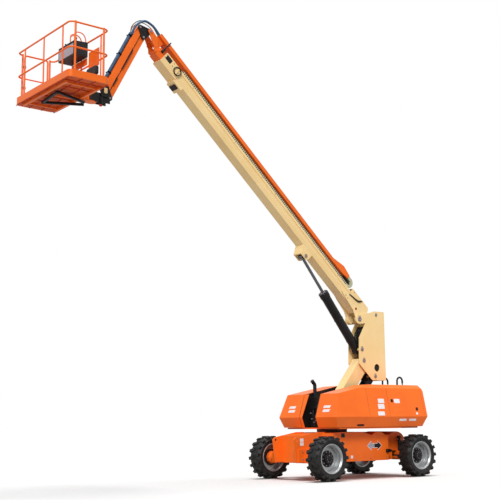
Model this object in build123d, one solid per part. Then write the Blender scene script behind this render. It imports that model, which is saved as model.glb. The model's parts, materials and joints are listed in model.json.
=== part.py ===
from build123d import *
from math import atan2, cos, degrees, hypot, radians, sin
import os

os.makedirs("parts", exist_ok=True)

# Self-propelled telescopic boom lift with a jib, millimetres.
# The origin is on the floor under the slew axis. +X points to the steered axle,
# the boom reaches out over the fixed axle towards -X, and +Z is up.

# Clearances and overrun
pin_fit = 0.3
seat_gap = 0.3
side_fit = 4.0
overrun = 60.0

# Wheels and axles
wheelbase = 3050.0
fixed_axle_x = -1150.0
steer_axle_x = fixed_axle_x + wheelbase
track_width = 2110.0
tyre_radius = 520.0
tyre_width = 380.0
tyre_shoulder = 55.0
lug_height = 28.0
lug_thickness = 74.0
lug_length = 175.0
lug_slant = 16.0
lug_count = 17
rim_radius = 337.0
rim_wall = 12.0
rim_lip = 26.0
rim_dish_depth = 165.0
hub_radius = 150.0
hub_cap_radius = 105.0
hub_cap_length = 70.0
stub_radius = 70.0
wheel_y = track_width / 2

# Chassis
chassis_half_width = 670.0
chassis_bottom = 415.0
chassis_top = 1115.0
chassis_low_top = 1030.0
chassis_front_x = -1300.0
chassis_front_half = 400.0
chassis_front_drop = 60.0
chassis_wide_x = -600.0
chassis_wide_run = 100.0
chassis_level_x = 400.0
chassis_rear_x = 2060.0
chassis_narrow_half = 480.0
chassis_narrow_x = 1290.0
chassis_narrow_run = 130.0
chassis_wall = 14.0
hump_height = 80.0
hump_length = 480.0
hump_shares = (0.19, 0.68)
end_plate_wall = 25.0
end_plate_reach = 300.0
end_plate_rise = 12.0
end_plate_lean = 75.0
end_plate_round = 60.0
end_plate_drop = 115.0
end_plate_peak_x = -840.0
tie_hole_radius = 32.0
tie_hole_x = -1503.0
tie_hole_z = 948.0
saddle_length = 520.0
saddle_height = 320.0
saddle_wall = 35.0
axle_depth = 230.0
axle_width = 260.0

# Steered axle
kingpin_y = 790.0
kingpin_radius = 35.0
yoke_wall = 38.0
yoke_radius = 75.0
yoke_neck = 45.0
yoke_neck_length = 70.0
knuckle_height = 250.0
steer_rod_radius = 24.0
steer_barrel_radius = 50.0
steer_barrel_length = 520.0
steer_rod_set_back = 235.0
steer_stroke = 90.0
lock_radius = 45.0
lock_rod_radius = 28.0
lock_x = 1840.0
lock_y = 533.0
lock_body_top = 900.0
lock_top = 1000.0

# Slew ring and turntable
ring_radius = 365.0
ring_height = 40.0
turntable_bottom = 1195.0
deck_wall = 35.0
gap_half_width = 285.0
cowl_wall = 6.0
cowl_flange = 40.0
hood_front_x = -812.0
hood_rear_x = 2350.0
hood_half_width = 1060.0
hood_bottom = 1225.0
hood_crease = 1480.0
hood_front_top = 2040.0
hood_top = 2270.0
hood_lean = 184.0
hood_tumblehome = 150.0
hood_tuck = 90.0
hood_slope_run = 1150.0
hood_rear_tuck = 120.0
hood_rear_chamfer = 80.0
hood_wall = 8.0
deck_half_width = 950.0

# Counterweight, engine and tanks
counterweight_front_x = 1480.0
counterweight_rear_x = 2280.0
counterweight_slab = 170.0
counterweight_height = 640.0
tail_block_rear_x = 2330.0
loop_radius = 14.0
loop_bend = 90.0
loop_front_x = 2115.0
loop_rear_x = 2325.0
loop_top = 2495.0
loop_y = 262.0
loop_plate_top = 2200.0
loop_plate_wall = 16.0
nose_gap_top_y = 115.0
nose_gap_low_y = 195.0
engine_size = (1150.0, 560.0, 620.0)
engine_front_x = 120.0
tank_size = (820.0, 420.0, 560.0)
tank_round = 60.0
tank_front_x = -420.0
exhaust_radius = 45.0
exhaust_x = -330.0
exhaust_y = 235.0
exhaust_top = 2290.0
exhaust_tip_run = 90.0

# Tower linkage
link_angle = 50.5
link_length = 1450.0
link_step_x = link_length * cos(radians(link_angle))
link_step_z = link_length * sin(radians(link_angle))
tower_pin = (59.7, 1785.1)
timing_pin = (tower_pin[0] + 390.0, tower_pin[1] - 393.0)
upright_link_x = tower_pin[0] + link_step_x
upright_link_z = tower_pin[1] + link_step_z
timing_pin_x = timing_pin[0] + link_step_x
timing_pin_z = timing_pin[1] + link_step_z
link_depth = 340.0
link_width = 270.0
timing_depth = 150.0
timing_bar = 36.0
link_wall = 14.0
link_pin_radius = 38.0
boss_radius = 78.0
bracket_wall = 30.0

# Upright
upright_half_width = 205.0
upright_wall = 22.0
upright_rear_x = upright_link_x + 783.0
upright_bottom = upright_link_z - 494.0
upright_top = upright_link_z + 1286.0
boom_pin_x = upright_link_x - 119.0
boom_pin_z = upright_link_z + 1059.0
boom_pin_radius = 55.0
boom_ear_radius = 122.0
lift_foot_x = upright_link_x - 61.0
lift_foot_z = upright_link_z + 288.0

# Boom, with heights counted from the boom pin across the boom
boom_angle = 42.2
boom_floor_half = 144.0
boom_side_half = 172.0
boom_low = 87.0
boom_knee = 183.0
boom_high = 337.0
boom_wall = 10.0
boom_start = 150.0
boom_length = 8310.0
lip_width = 18.0
lip_depth = 55.0
collar_length = 560.0
collar_wall = 14.0
window_length = 180.0
window_height = 125.0
window_set_back = 135.0
pad_length = 160.0
pad_block_length = 290.0
pad_block_depth = 75.0
mid_gap = 12.0
mid_wall = 8.0
mid_tail = 350.0
mid_nose = boom_length + 180.0
fly_gap = 12.0
fly_wall = 8.0
fly_tail = 560.0
fly_nose = boom_length + 245.0
fly_chin_s = boom_length + 316.0
fly_chin_n = 200.0
fly_brow_s = boom_length + 380.0
fly_brow_n = 416.0

# Tail plates of the base boom
tail_plate_wall = 6.0
tail_top = 458.0
tail_back = 100.0
tail_radius = 98.0
tail_front_s = 650.0
tail_low_s = 900.0
tail_roof_wall = 12.0
sleeve_reach = 48.0

# Boom lift cylinder
lift_pin_s = 2295.0
lift_pin_n = -75.0
lift_barrel_radius = 115.0
lift_barrel_length = 1790.0
lift_head_radius = 128.0
lift_head_length = 130.0
lift_rod_radius = 38.0
lift_eye_radius = 62.0
lift_eye_width = 130.0
lift_pin_radius = 38.0
lift_bracket_gap = 54.0
lift_bracket_wall = 25.0

# Tower lift cylinder
tower_foot_x = tower_pin[0] + 272.3
tower_foot_z = tower_pin[1] - 485.1
tower_head_share = 0.62
tower_head_drop = 143.0
tower_barrel_radius = 62.0
tower_rod_radius = 32.0
tower_eye_radius = 50.0
tower_eye_width = 70.0
tower_pin_radius = 28.0
tower_barrel_length = 700.0
tower_rod_start = 560.0

# Power track and its tray
track_line_y = -60.0
track_width_y = 200.0
track_link_height = 80.0
track_loop_radius = 143.0
track_end_gap = 20.0
track_front_s = boom_length - collar_length - track_end_gap
track_rear_s = 845.0
tray_wall = 5.0
tray_side = 87.0
tray_rise = 475.0
tray_front_s = boom_length + 405.0
tray_rear_s = 950.0
tray_rear_low_n = 532.0
tray_rear_high_n = 628.0
tray_shoulder_s = 1246.0
tray_shoulder_n = 675.0
tray_bend_s = 1640.0
tray_belly_s = 1123.0
tray_belly_n = 500.0
tray_clearance = 12.0

# Jib
knuckle_s = boom_length + 613.6
knuckle_n = 384.7
jib_pivot_s = boom_length + 835.5
jib_pivot_n = 243.6
jib_angle = 62.0
jib_length = 1830.0
jib_pin_radius = 28.0
jib_arm_low = 95.0
jib_arm_high = 52.0
jib_wall = 10.0
jib_link_depth = 120.0
jib_link_inset = 16.0
jib_link_offset_s = 157.0
jib_link_offset_n = -183.0
jib_sleeve_radius = 46.0
jib_boss_radius = 58.0
jib_side_fit = 5.0
head_wall = 22.0

# Level head and rotator
rotator_radius = 105.0
rotator_height = 210.0
rotator_reach = 322.0
rotator_drop = 251.0
rotator_flange_wall = 22.0

# Platform
platform_reach = 737.0
platform_drop = 100.0
platform_length = 2460.0
platform_width = 950.0
platform_corner = 110.0
floor_wall = 30.0
toe_height = 150.0
toe_wall = 3.0
rail_radius = 19.0
post_radius = 16.0
gate_post_radius = 22.0
rail_top = 1180.0
rail_mid = 640.0
support_tube = 60.0
support_cross_tube = 40.0
support_reach_share = 0.4
support_cross_share = 0.35
post_y_shares = (-0.36, -0.02, 0.34)
gate_width = 560.0
gate_clearance = 14.0
gate_bottom = 210.0
gate_collar_radius = 29.0
gate_collar_height = 44.0
rail_inset = gate_post_radius + toe_wall + seat_gap
gate_hinge_shares = (0.2, 0.7)
gate_bar_share = 0.8
gate_line_y = platform_length / 2 - rail_inset
gate_post_offset = gate_width / 2 + 2 * rail_radius + gate_clearance
console_size = (330.0, 700.0, 300.0)
console_top = 1140.0
floor_panel_wall = 4.0
floor_panel_margin = 12.0


def pin_frame(start, end):
    """Place with x along the line between two (x, z) points and z on its upper side."""
    length = hypot(end[0] - start[0], end[1] - start[1])
    along = ((end[0] - start[0]) / length, (end[1] - start[1]) / length)
    up = (-along[1], along[0]) if along[0] > 0 else (along[1], -along[0])
    return Plane(
        origin=(start[0], 0, start[1]),
        x_dir=(along[0], 0, along[1]),
        z_dir=(up[0], 0, up[1]),
    ).location


def to_world(frame, along, up):
    """World (x, z) of a point given in a pin frame."""
    place = (frame * Location((along, 0, up))).position
    return place.X, place.Z


def slab(points, y_low, y_high):
    """Plate cut to an outline of (x, z) points, from y_low to y_high."""
    face = make_face(Polyline(*points, close=True))
    plane = Plane(origin=(0, y_high, 0), x_dir=(1, 0, 0), z_dir=(0, -1, 0))
    return extrude(plane * face, y_high - y_low)


def block(x_low, x_high, y_low, y_high, z_low, z_high):
    """Box between two opposite corners."""
    size = (x_high - x_low, y_high - y_low, z_high - z_low)
    middle = ((x_low + x_high) / 2, (y_low + y_high) / 2, (z_low + z_high) / 2)
    return Pos(*middle) * Box(*size)


def rod_y(x, z, radius, y_low, y_high):
    """Round bar along Y."""
    return Pos(x, (y_low + y_high) / 2, z) * Rot(90, 0, 0) * Cylinder(radius, y_high - y_low)


def rod_x(x_low, x_high, y, z, radius):
    """Round bar along X."""
    return Pos((x_low + x_high) / 2, y, z) * Rot(0, 90, 0) * Cylinder(radius, x_high - x_low)


def rod_z(x, y, radius, z_low, z_high):
    """Round bar along Z."""
    return Pos(x, y, (z_low + z_high) / 2) * Cylinder(radius, z_high - z_low)


def mirrored(shape):
    """The same shape on the other side of the machine."""
    return mirror(shape, about=Plane.XZ)


def tube_path(points, bend, radius):
    """Round tube along points, with all corners bent to one radius."""
    path = FilletPolyline(*points, radius=bend)
    return sweep(Plane(origin=path @ 0, z_dir=path % 0) * Circle(radius), path=path)


# Wheels
def make_tyre():
    """Carcass turned about Y, with a row of slanted lugs on each shoulder."""
    half = tyre_width / 2
    carcass_radius = tyre_radius - lug_height
    outline = [
        (rim_radius, -half + tyre_shoulder / 2),
        (carcass_radius - tyre_shoulder, -half),
        (carcass_radius, -half + tyre_shoulder),
        (carcass_radius, half - tyre_shoulder),
        (carcass_radius - tyre_shoulder, half),
        (rim_radius, half - tyre_shoulder / 2),
    ]
    carcass = revolve(make_face(Polyline(*outline, close=True)), Axis.Y)
    lean = radians(lug_slant)
    spread = (lug_thickness * cos(lean) + lug_length * sin(lean)) / 2
    reach = (lug_thickness * sin(lean) + lug_length * cos(lean)) / 2
    tip = (tyre_radius ** 2 - spread ** 2) ** 0.5
    root = tyre_radius - tyre_shoulder - lug_height
    lug = Box(tip - root, lug_length, lug_thickness)
    lugs = []
    for side, turn_share in ((-1, 0), (1, 0.5)):
        for index in range(lug_count):
            turn = 360 / lug_count * (index + turn_share)
            place = Pos((tip + root) / 2, side * (half - reach), 0)
            lugs.append(Rot(0, turn, 0) * place * Rot(side * lug_slant, 0, 0) * lug)
    return carcass + lugs


def make_rim(side):
    """Dished disc wheel about Y with its planetary hub, open towards the outer side."""
    half = tyre_width / 2 - tyre_shoulder / 2
    outer = rim_radius - pin_fit
    inner = outer - rim_wall
    disc = half - rim_dish_depth
    outline = [
        (stub_radius + pin_fit, disc),
        (inner - rim_lip, disc),
        (inner - rim_lip, half - rim_lip),
        (inner, half),
        (outer, half),
        (outer, -half),
        (inner, -half),
        (inner - rim_wall, disc - rim_wall * 2),
        (stub_radius + pin_fit, disc - rim_wall * 2),
    ]
    rim = revolve(make_face(Polyline(*outline, close=True)), Axis.Y)
    hub = Pos(0, disc + hub_cap_length / 2, 0) * Rot(90, 0, 0) * Cylinder(hub_cap_radius, hub_cap_length)
    flange = Pos(0, disc, 0) * Rot(90, 0, 0) * Cylinder(hub_radius, rim_lip)
    bore = Pos(0, disc - rim_lip, 0) * Rot(90, 0, 0) * Cylinder(stub_radius + pin_fit, rim_lip * 4)
    wheel = rim + flange + hub - bore
    return wheel if side > 0 else mirrored(wheel)


# Place of each wheel: name, x and side of the machine
WHEEL_PLACES = (
    ("fixed_right", fixed_axle_x, -1),
    ("fixed_left", fixed_axle_x, 1),
    ("steer_right", steer_axle_x, -1),
    ("steer_left", steer_axle_x, 1),
)


def stub_end(side):
    """Y where the stub axle ends inside its wheel."""
    half = tyre_width / 2 - tyre_shoulder / 2
    return side * (wheel_y + half - rim_dish_depth + rim_lip - pin_fit * 4)


# Chassis
def chassis_plan(shrink):
    """Plan outline of the chassis in (x, y), narrow between each pair of wheels."""
    slim = chassis_front_half - shrink
    wide = chassis_half_width - shrink
    narrow = chassis_narrow_half - shrink
    front, rear = chassis_front_x + shrink, chassis_rear_x - shrink
    swell = chassis_wide_x + shrink / 2
    bend = chassis_narrow_x - shrink / 2
    half = [
        (front, slim), (swell - chassis_wide_run, slim), (swell, wide),
        (bend, wide), (bend + chassis_narrow_run, narrow), (rear, narrow),
    ]
    return half + [(x, -y) for x, y in reversed(half)]


def chassis_side():
    """Side outline of the chassis, with two round humps over the frame at its rear."""
    low = chassis_low_top
    run = chassis_rear_x - chassis_level_x
    humps = [chassis_level_x + run * share for share in hump_shares]
    outline = Polyline(
        (humps[0], low), (chassis_level_x, chassis_top), (-ring_radius - overrun, chassis_top),
        (chassis_front_x, chassis_top - chassis_front_drop), (chassis_front_x, chassis_bottom),
        (chassis_rear_x, chassis_bottom), (chassis_rear_x, low - chassis_front_drop), (humps[1] + hump_length, low))
    for index, start in enumerate(humps):
        end = start + hump_length
        outline += ThreePointArc((start, low), ((start + end) / 2, low + hump_height), (end, low))
        if index == 0:
            outline += Line((end, low), (humps[1], low))
    return make_face(outline)


def end_plate(y_low, y_high):
    """Long plate at the front of the chassis with a tie-down hole in its rounded corner."""
    front = chassis_front_x - end_plate_reach
    high = chassis_top + end_plate_rise
    plate = slab([
        (front + end_plate_lean, chassis_bottom), (front, high - end_plate_drop - end_plate_round),
        (front + end_plate_round, high - end_plate_drop), (end_plate_peak_x, high),
        (chassis_wide_x, high), (chassis_wide_x, chassis_bottom)], y_low, y_high)
    saddle_x = fixed_axle_x - saddle_length / 2
    plate += block(
        saddle_x - saddle_wall * 2, saddle_x + saddle_length, y_low - saddle_wall, y_high + saddle_wall,
        chassis_bottom + end_plate_rise, chassis_bottom + saddle_height)
    return plate - rod_y(tie_hole_x, tie_hole_z, tie_hole_radius, y_low - overrun, y_high + overrun)


def make_chassis():
    """Welded box with a belly plate, long end plates and slots for the axles."""
    outer = extrude(Pos(0, 0, chassis_bottom) * make_face(Polyline(*chassis_plan(0), close=True)), chassis_top)
    hollow = extrude(
        Pos(0, 0, chassis_bottom + chassis_wall) * make_face(Polyline(*chassis_plan(chassis_wall), close=True)),
        chassis_low_top - chassis_front_drop - chassis_bottom - 2 * chassis_wall)
    plane = Plane(origin=(0, chassis_half_width, 0), x_dir=(1, 0, 0), z_dir=(0, -1, 0))
    shell = (extrude(plane * chassis_side(), 2 * chassis_half_width) & outer) - hollow
    for side in (-1, 1):
        low, high = sorted((side * chassis_front_half, side * (chassis_front_half - end_plate_wall)))
        shell += end_plate(low, high)
    slots = (
        (fixed_axle_x - axle_width / 2, fixed_axle_x + axle_width / 2),
        (steer_axle_x - steer_rod_set_back - steer_barrel_radius - side_fit, steer_axle_x + axle_width / 2),
    )
    for low, high in slots:
        shell -= block(
            low - seat_gap, high + seat_gap, -chassis_half_width - overrun, chassis_half_width + overrun,
            chassis_bottom - overrun, tyre_radius + axle_depth / 2 + seat_gap)
    ring = rod_z(0, 0, ring_radius, chassis_top - chassis_wall, chassis_top + ring_height)
    return shell + ring


def make_fixed_axle():
    """Axle beam with a drive motor housing and stub at each end."""
    beam = block(
        fixed_axle_x - axle_width / 2, fixed_axle_x + axle_width / 2,
        -kingpin_y, kingpin_y, tyre_radius - axle_depth / 2, tyre_radius + axle_depth / 2)
    stub = rod_y(fixed_axle_x, tyre_radius, stub_radius, stub_end(-1), stub_end(1))
    return beam + stub


def make_steer_axle():
    """Axle beam with a yoke for each kingpin and its steering cylinder."""
    half = kingpin_y - yoke_radius - side_fit
    low_z = tyre_radius - knuckle_height / 2 - yoke_wall - side_fit
    high_z = tyre_radius + knuckle_height / 2 + yoke_wall + side_fit
    beam_half = half - yoke_neck_length
    axle = block(
        steer_axle_x - axle_width / 2, steer_axle_x + axle_width / 2,
        -beam_half, beam_half, tyre_radius - axle_depth / 2, tyre_radius + axle_depth / 2)
    for side in (-1, 1):
        near, far = sorted((side * (beam_half - overrun), side * half))
        axle += block(steer_axle_x - yoke_neck, steer_axle_x + yoke_neck, near, far, low_z, high_z)
        near, far = sorted((side * (beam_half - overrun), side * kingpin_y))
        for z in (low_z, high_z - yoke_wall):
            axle += block(steer_axle_x - yoke_radius, steer_axle_x + yoke_radius, near, far, z, z + yoke_wall)
            axle += rod_z(steer_axle_x, side * kingpin_y, yoke_radius, z, z + yoke_wall)
        axle += rod_z(steer_axle_x, side * kingpin_y, kingpin_radius, low_z, high_z)
    barrel_x = steer_axle_x - steer_rod_set_back
    barrel = rod_y(barrel_x, tyre_radius, steer_barrel_radius, -steer_barrel_length / 2, steer_barrel_length / 2)
    barrel -= rod_y(barrel_x, tyre_radius, steer_rod_radius + pin_fit, -steer_barrel_length, steer_barrel_length)
    web = block(
        barrel_x + (steer_rod_radius + steer_barrel_radius) / 2, steer_axle_x - axle_width / 2 + side_fit,
        -steer_barrel_length / 4, steer_barrel_length / 4,
        tyre_radius - steer_rod_radius, tyre_radius + steer_rod_radius)
    return axle + [barrel, web]


def make_lock_cylinders():
    """Upright lock cylinder on each side, between the steered axle and the chassis."""
    cylinders = []
    base = tyre_radius + axle_depth / 2 + seat_gap
    inner = chassis_narrow_half + seat_gap
    for side in (-1, 1):
        cylinder = rod_z(lock_x, side * lock_y, lock_radius, base, lock_body_top)
        cylinder += rod_z(lock_x, side * lock_y, lock_rod_radius, lock_body_top - overrun, lock_top)
        low, high = sorted((side * inner, side * (lock_y + lock_rod_radius)))
        bracket = block(
            lock_x - lock_rod_radius, lock_x + lock_rod_radius, low, high, lock_top - overrun, lock_top)
        cylinders.append(cylinder + bracket)
    return Compound(cylinders)


def make_knuckle(side):
    """Knuckle sleeve on its kingpin with a stub axle and a steering arm."""
    sleeve = rod_z(
        steer_axle_x, side * kingpin_y, yoke_radius,
        tyre_radius - knuckle_height / 2, tyre_radius + knuckle_height / 2)
    stub = rod_y(
        steer_axle_x, tyre_radius, stub_radius,
        min(side * kingpin_y, stub_end(side)), max(side * kingpin_y, stub_end(side)))
    arm = block(
        steer_axle_x - steer_rod_set_back + overrun, steer_axle_x,
        side * kingpin_y - yoke_wall / 2, side * kingpin_y + yoke_wall / 2,
        tyre_radius - yoke_wall, tyre_radius + yoke_wall)
    bore = rod_z(
        steer_axle_x, side * kingpin_y, kingpin_radius + pin_fit,
        tyre_radius - knuckle_height, tyre_radius + knuckle_height)
    return sleeve + stub + arm - bore


def make_steering_rod():
    """Through rod of the steering cylinder."""
    return rod_y(
        steer_axle_x - steer_rod_set_back, tyre_radius, steer_rod_radius,
        -kingpin_y + steer_stroke + overrun, kingpin_y - steer_stroke - overrun)


# Turntable
deck_top = turntable_bottom + deck_wall
timing_outer = link_width / 2 - side_fit * 2
timing_inner = timing_outer - timing_bar


def make_turntable():
    """Deck plate on the slew ring with two upright plates that carry the link pins."""
    deck = block(
        hood_front_x + hood_tuck * 2, counterweight_front_x - seat_gap, -deck_half_width, deck_half_width,
        turntable_bottom, deck_top)
    ring = rod_z(0, 0, ring_radius - pin_fit, chassis_top + ring_height + seat_gap, turntable_bottom)
    frame = deck + ring
    plate = [
        (tower_pin[0] - boss_radius * 2, deck_top),
        (tower_pin[0] - boss_radius, tower_pin[1]),
        (tower_pin[0] - boss_radius * 0.7, tower_pin[1] + boss_radius * 0.7),
        (tower_pin[0] + boss_radius * 0.7, tower_pin[1] + boss_radius * 0.7),
        (timing_pin[0] + boss_radius * 1.5, timing_pin[1] + boss_radius),
        (timing_pin[0] + boss_radius * 5, timing_pin[1] - boss_radius / 2),
        (timing_pin[0] + boss_radius * 6, deck_top),
    ]
    for side in (-1, 1):
        inner = side * (link_width / 2 + side_fit * 2)
        outer = side * (link_width / 2 + side_fit * 2 + bracket_wall)
        frame += slab(plate, min(inner, outer), max(inner, outer))
    pin_half = link_width / 2 + side_fit * 2 + bracket_wall * 1.5
    frame += rod_y(tower_pin[0], tower_pin[1], link_pin_radius, -pin_half, pin_half)
    frame += rod_y(tower_foot_x, tower_foot_z, tower_pin_radius, -pin_half, pin_half)
    for side in (-1, 1):
        low, high = sorted((side * timing_inner, side * pin_half))
        frame += rod_y(timing_pin[0], timing_pin[1], link_pin_radius, low, high)
    return frame


def hood_outline(x_shift, z_shift):
    """Side outline of a hood, shrunk by a wall on all sides."""
    rear = hood_rear_x - x_shift
    return [
        (hood_front_x + hood_tuck + x_shift, hood_bottom + z_shift),
        (hood_front_x + x_shift, hood_crease),
        (hood_front_x + hood_lean + x_shift, hood_front_top - z_shift),
        (hood_front_x + hood_lean + hood_slope_run + x_shift, hood_top - z_shift),
        (rear - hood_rear_chamfer, hood_top - z_shift),
        (rear, hood_top - hood_rear_chamfer * 2),
        (rear, hood_crease),
        (rear - hood_rear_tuck, hood_bottom + z_shift),
    ]


def hood_section(inner, shift):
    """Cross outline of a hood in (y, z), between the centre gap and the side."""
    drop = overrun if shift else 0
    slope = hood_tuck / (hood_crease - hood_bottom)
    low_y = hood_half_width - hood_tuck - shift - drop * slope
    return [
        (inner + shift, hood_bottom - drop),
        (low_y, hood_bottom - drop),
        (hood_half_width - shift, hood_crease),
        (hood_half_width - hood_tumblehome - shift, hood_top - hood_tuck - shift),
        (hood_half_width - hood_tumblehome - hood_tuck - shift, hood_top - shift),
        (inner + shift, hood_top - shift),
    ]


def hood_solid(shift):
    """Hood body on the +Y side, as the meeting of its side outline and cross outline."""
    inner = gap_half_width + cowl_wall + side_fit
    long_body = slab(hood_outline(shift, shift), 0, hood_half_width * 2)
    face = make_face(Polyline(*hood_section(inner, shift), close=True))
    plane = Plane(origin=(hood_rear_x + overrun, 0, 0), x_dir=(0, 1, 0), z_dir=(1, 0, 0))
    cross = extrude(plane * face, -(hood_rear_x - hood_front_x + overrun * 2))
    return long_body & cross


def make_hood(side):
    """Hollow hood, open below and towards the centre."""
    outer = hood_solid(0)
    hollow = hood_solid(hood_wall)
    inner = gap_half_width + cowl_wall + side_fit
    hood = outer - hollow
    hood -= block(
        hood_front_x - overrun, hood_rear_x + overrun, inner - overrun, inner + hood_wall,
        hood_bottom - overrun, hood_top - hood_wall)
    hood -= block(
        hood_front_x - overrun, hood_rear_x + overrun, inner - overrun, hood_half_width * 2,
        hood_bottom - overrun, hood_bottom + hood_wall)
    return hood if side > 0 else mirrored(hood)


def make_cowl():
    """Fixed walls between the hoods and the centre gap."""
    front = hood_outline(hood_wall, hood_wall)
    rear_x = hood_rear_x - hood_tuck * 3
    outline = front[:4] + [
        (rear_x, front[3][1]),
        (counterweight_rear_x - hood_tuck, hood_crease),
        (counterweight_rear_x - hood_tuck, deck_top + counterweight_slab),
        (counterweight_front_x - seat_gap, deck_top + counterweight_slab),
        (counterweight_front_x - seat_gap, deck_top),
    ]
    wall = slab(outline, gap_half_width, gap_half_width + cowl_wall)
    hinge_z = hood_top - hood_wall - seat_gap
    wall += block(
        front[3][0] + cowl_flange, rear_x, gap_half_width, gap_half_width + cowl_flange,
        hinge_z - cowl_wall * 2, hinge_z)
    return Compound([wall, mirrored(wall)])


def make_nose_panel():
    """Fixed front cover beside the left hood, with a slanted edge at the centre gap."""
    outer = hood_outline(0, 0)[:3]
    inner = hood_outline(hood_wall, 0)[:3]
    side_y = gap_half_width - seat_gap
    panel = slab(outer + inner[::-1], 0, side_y)
    edge = [
        (nose_gap_low_y, hood_bottom - overrun), (nose_gap_low_y, hood_crease),
        (nose_gap_top_y, hood_front_top + overrun), (-overrun, hood_front_top + overrun),
        (-overrun, hood_bottom - overrun),
    ]
    plane = Plane(origin=(hood_front_x + hood_lean + overrun, 0, 0), x_dir=(0, 1, 0), z_dir=(1, 0, 0))
    cut = extrude(plane * make_face(Polyline(*edge, close=True)), -(hood_lean + overrun * 3))
    return panel - cut


def make_loops():
    """Lifting loop of round bar on a plate, on each side of the tail."""
    loops = []
    base = deck_top + counterweight_slab + seat_gap
    for side in (-1, 1):
        y = side * loop_y
        points = (
            (loop_front_x, y, loop_plate_top - overrun), (loop_front_x, y, loop_top),
            (loop_rear_x - loop_radius, y, loop_top), (loop_rear_x - loop_radius, y, loop_plate_top - overrun),
        )
        loop = tube_path(points, loop_bend, loop_radius)
        loop += block(
            loop_front_x - loop_radius, loop_rear_x, y - loop_plate_wall / 2, y + loop_plate_wall / 2,
            base, loop_plate_top)
        loops.append(loop)
    return Compound(loops)


def make_counterweight():
    """Cast slab across the tail with a block on each side of the centre gap."""
    inner = gap_half_width + cowl_wall + side_fit * 2 + hood_wall
    side = deck_half_width - hood_wall * 6
    rear = counterweight_rear_x - hood_tuck
    weight = block(counterweight_front_x, rear, -side, side, turntable_bottom, deck_top + counterweight_slab)
    for sign in (-1, 1):
        low, high = sorted((sign * inner, sign * side))
        weight += block(counterweight_front_x, rear, low, high, deck_top, deck_top + counterweight_height)
    edges = weight.edges().filter_by(Axis.Z).group_by(Axis.X)[-1].sort_by(Axis.Y)
    weight = fillet([edges[0], edges[-1]], hood_tuck)
    tail = gap_half_width - side_fit
    return weight + block(rear - overrun, tail_block_rear_x, -tail, tail, hood_bottom, deck_top + counterweight_slab)


def make_engine():
    """Engine as one plain block at its real place."""
    length, width, height = engine_size
    inner = gap_half_width + cowl_wall + hood_wall * 5
    return block(engine_front_x, engine_front_x + length, -inner - width, -inner, deck_top, deck_top + height)


def make_tanks():
    """Fuel and hydraulic tanks side by side under the left hood."""
    length, width, height = tank_size
    inner = gap_half_width + cowl_wall + hood_wall * 5
    tanks = []
    for index in range(2):
        start = tank_front_x + index * (length + tank_round)
        tank = block(start, start + length, inner, inner + width, deck_top, deck_top + height)
        tanks.append(fillet(tank.edges().filter_by(Axis.Z), tank_round))
    return Compound(tanks)


def make_valve_block():
    """Manifold and swivel in the centre gap in front of the links."""
    base = block(
        hood_front_x + hood_lean + hood_tuck, tower_pin[0] - boss_radius * 4, -gap_half_width * 0.6,
        gap_half_width * 0.6, deck_top, deck_top + boss_radius * 3)
    return base


def make_exhaust():
    """Bent exhaust pipe that rises beside the centre gap."""
    points = (
        (exhaust_x, exhaust_y, deck_top), (exhaust_x, exhaust_y, exhaust_top),
        (exhaust_x - exhaust_tip_run, exhaust_y, exhaust_top + exhaust_tip_run),
    )
    return tube_path(points, exhaust_radius * 2, exhaust_radius)


# Tower linkage
link_frame = pin_frame(tower_pin, (upright_link_x, upright_link_z))
timing_frame = pin_frame(timing_pin, (timing_pin_x, timing_pin_z))


def make_timing_link():
    """Two flat bars beside the tower cylinder, joined by a cross tube."""
    bars = None
    for side in (-1, 1):
        low, high = sorted((side * timing_inner, side * timing_outer))
        bar = block(0, link_length, low, high, -timing_depth / 2, timing_depth / 2)
        for x in (0, link_length):
            bar += rod_y(x, 0, timing_depth / 2, low, high)
            bar -= rod_y(x, 0, link_pin_radius + pin_fit, low - overrun, high + overrun)
        bars = bar if bars is None else bars + bar
    bars += rod_y(link_length - boss_radius * 2.4, 0, timing_depth / 4, -timing_outer, timing_outer)
    return timing_frame * bars


def make_tower_link():
    """Main link, a box arm open below for its cylinder, with a pin sleeve at each end."""
    low, high = boss_radius - link_depth, boss_radius
    outline = [
        (0, high), (link_length, high), (link_length + boss_radius, 0), (link_length, -boss_radius),
        (link_length - boss_radius * 1.8, low), (boss_radius * 2.4, low), (0, -boss_radius), (-boss_radius, 0),
    ]
    arm = slab(outline, -link_width / 2, link_width / 2)
    inner = link_width / 2 - link_wall
    arm -= block(
        boss_radius * 1.5, link_length - boss_radius * 1.5, -inner, inner, low - overrun, high - link_wall)
    for x in (0, link_length):
        arm -= rod_y(x, 0, link_pin_radius + pin_fit, -link_width, link_width)
    head_x = link_length * tower_head_share
    for side in (-1, 1):
        near, far = sorted((side * (tower_eye_width / 2 + side_fit * 2), side * (inner + link_wall / 2)))
        arm += rod_y(head_x, -tower_head_drop, tower_eye_radius, near, far)
    return link_frame * arm


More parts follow.
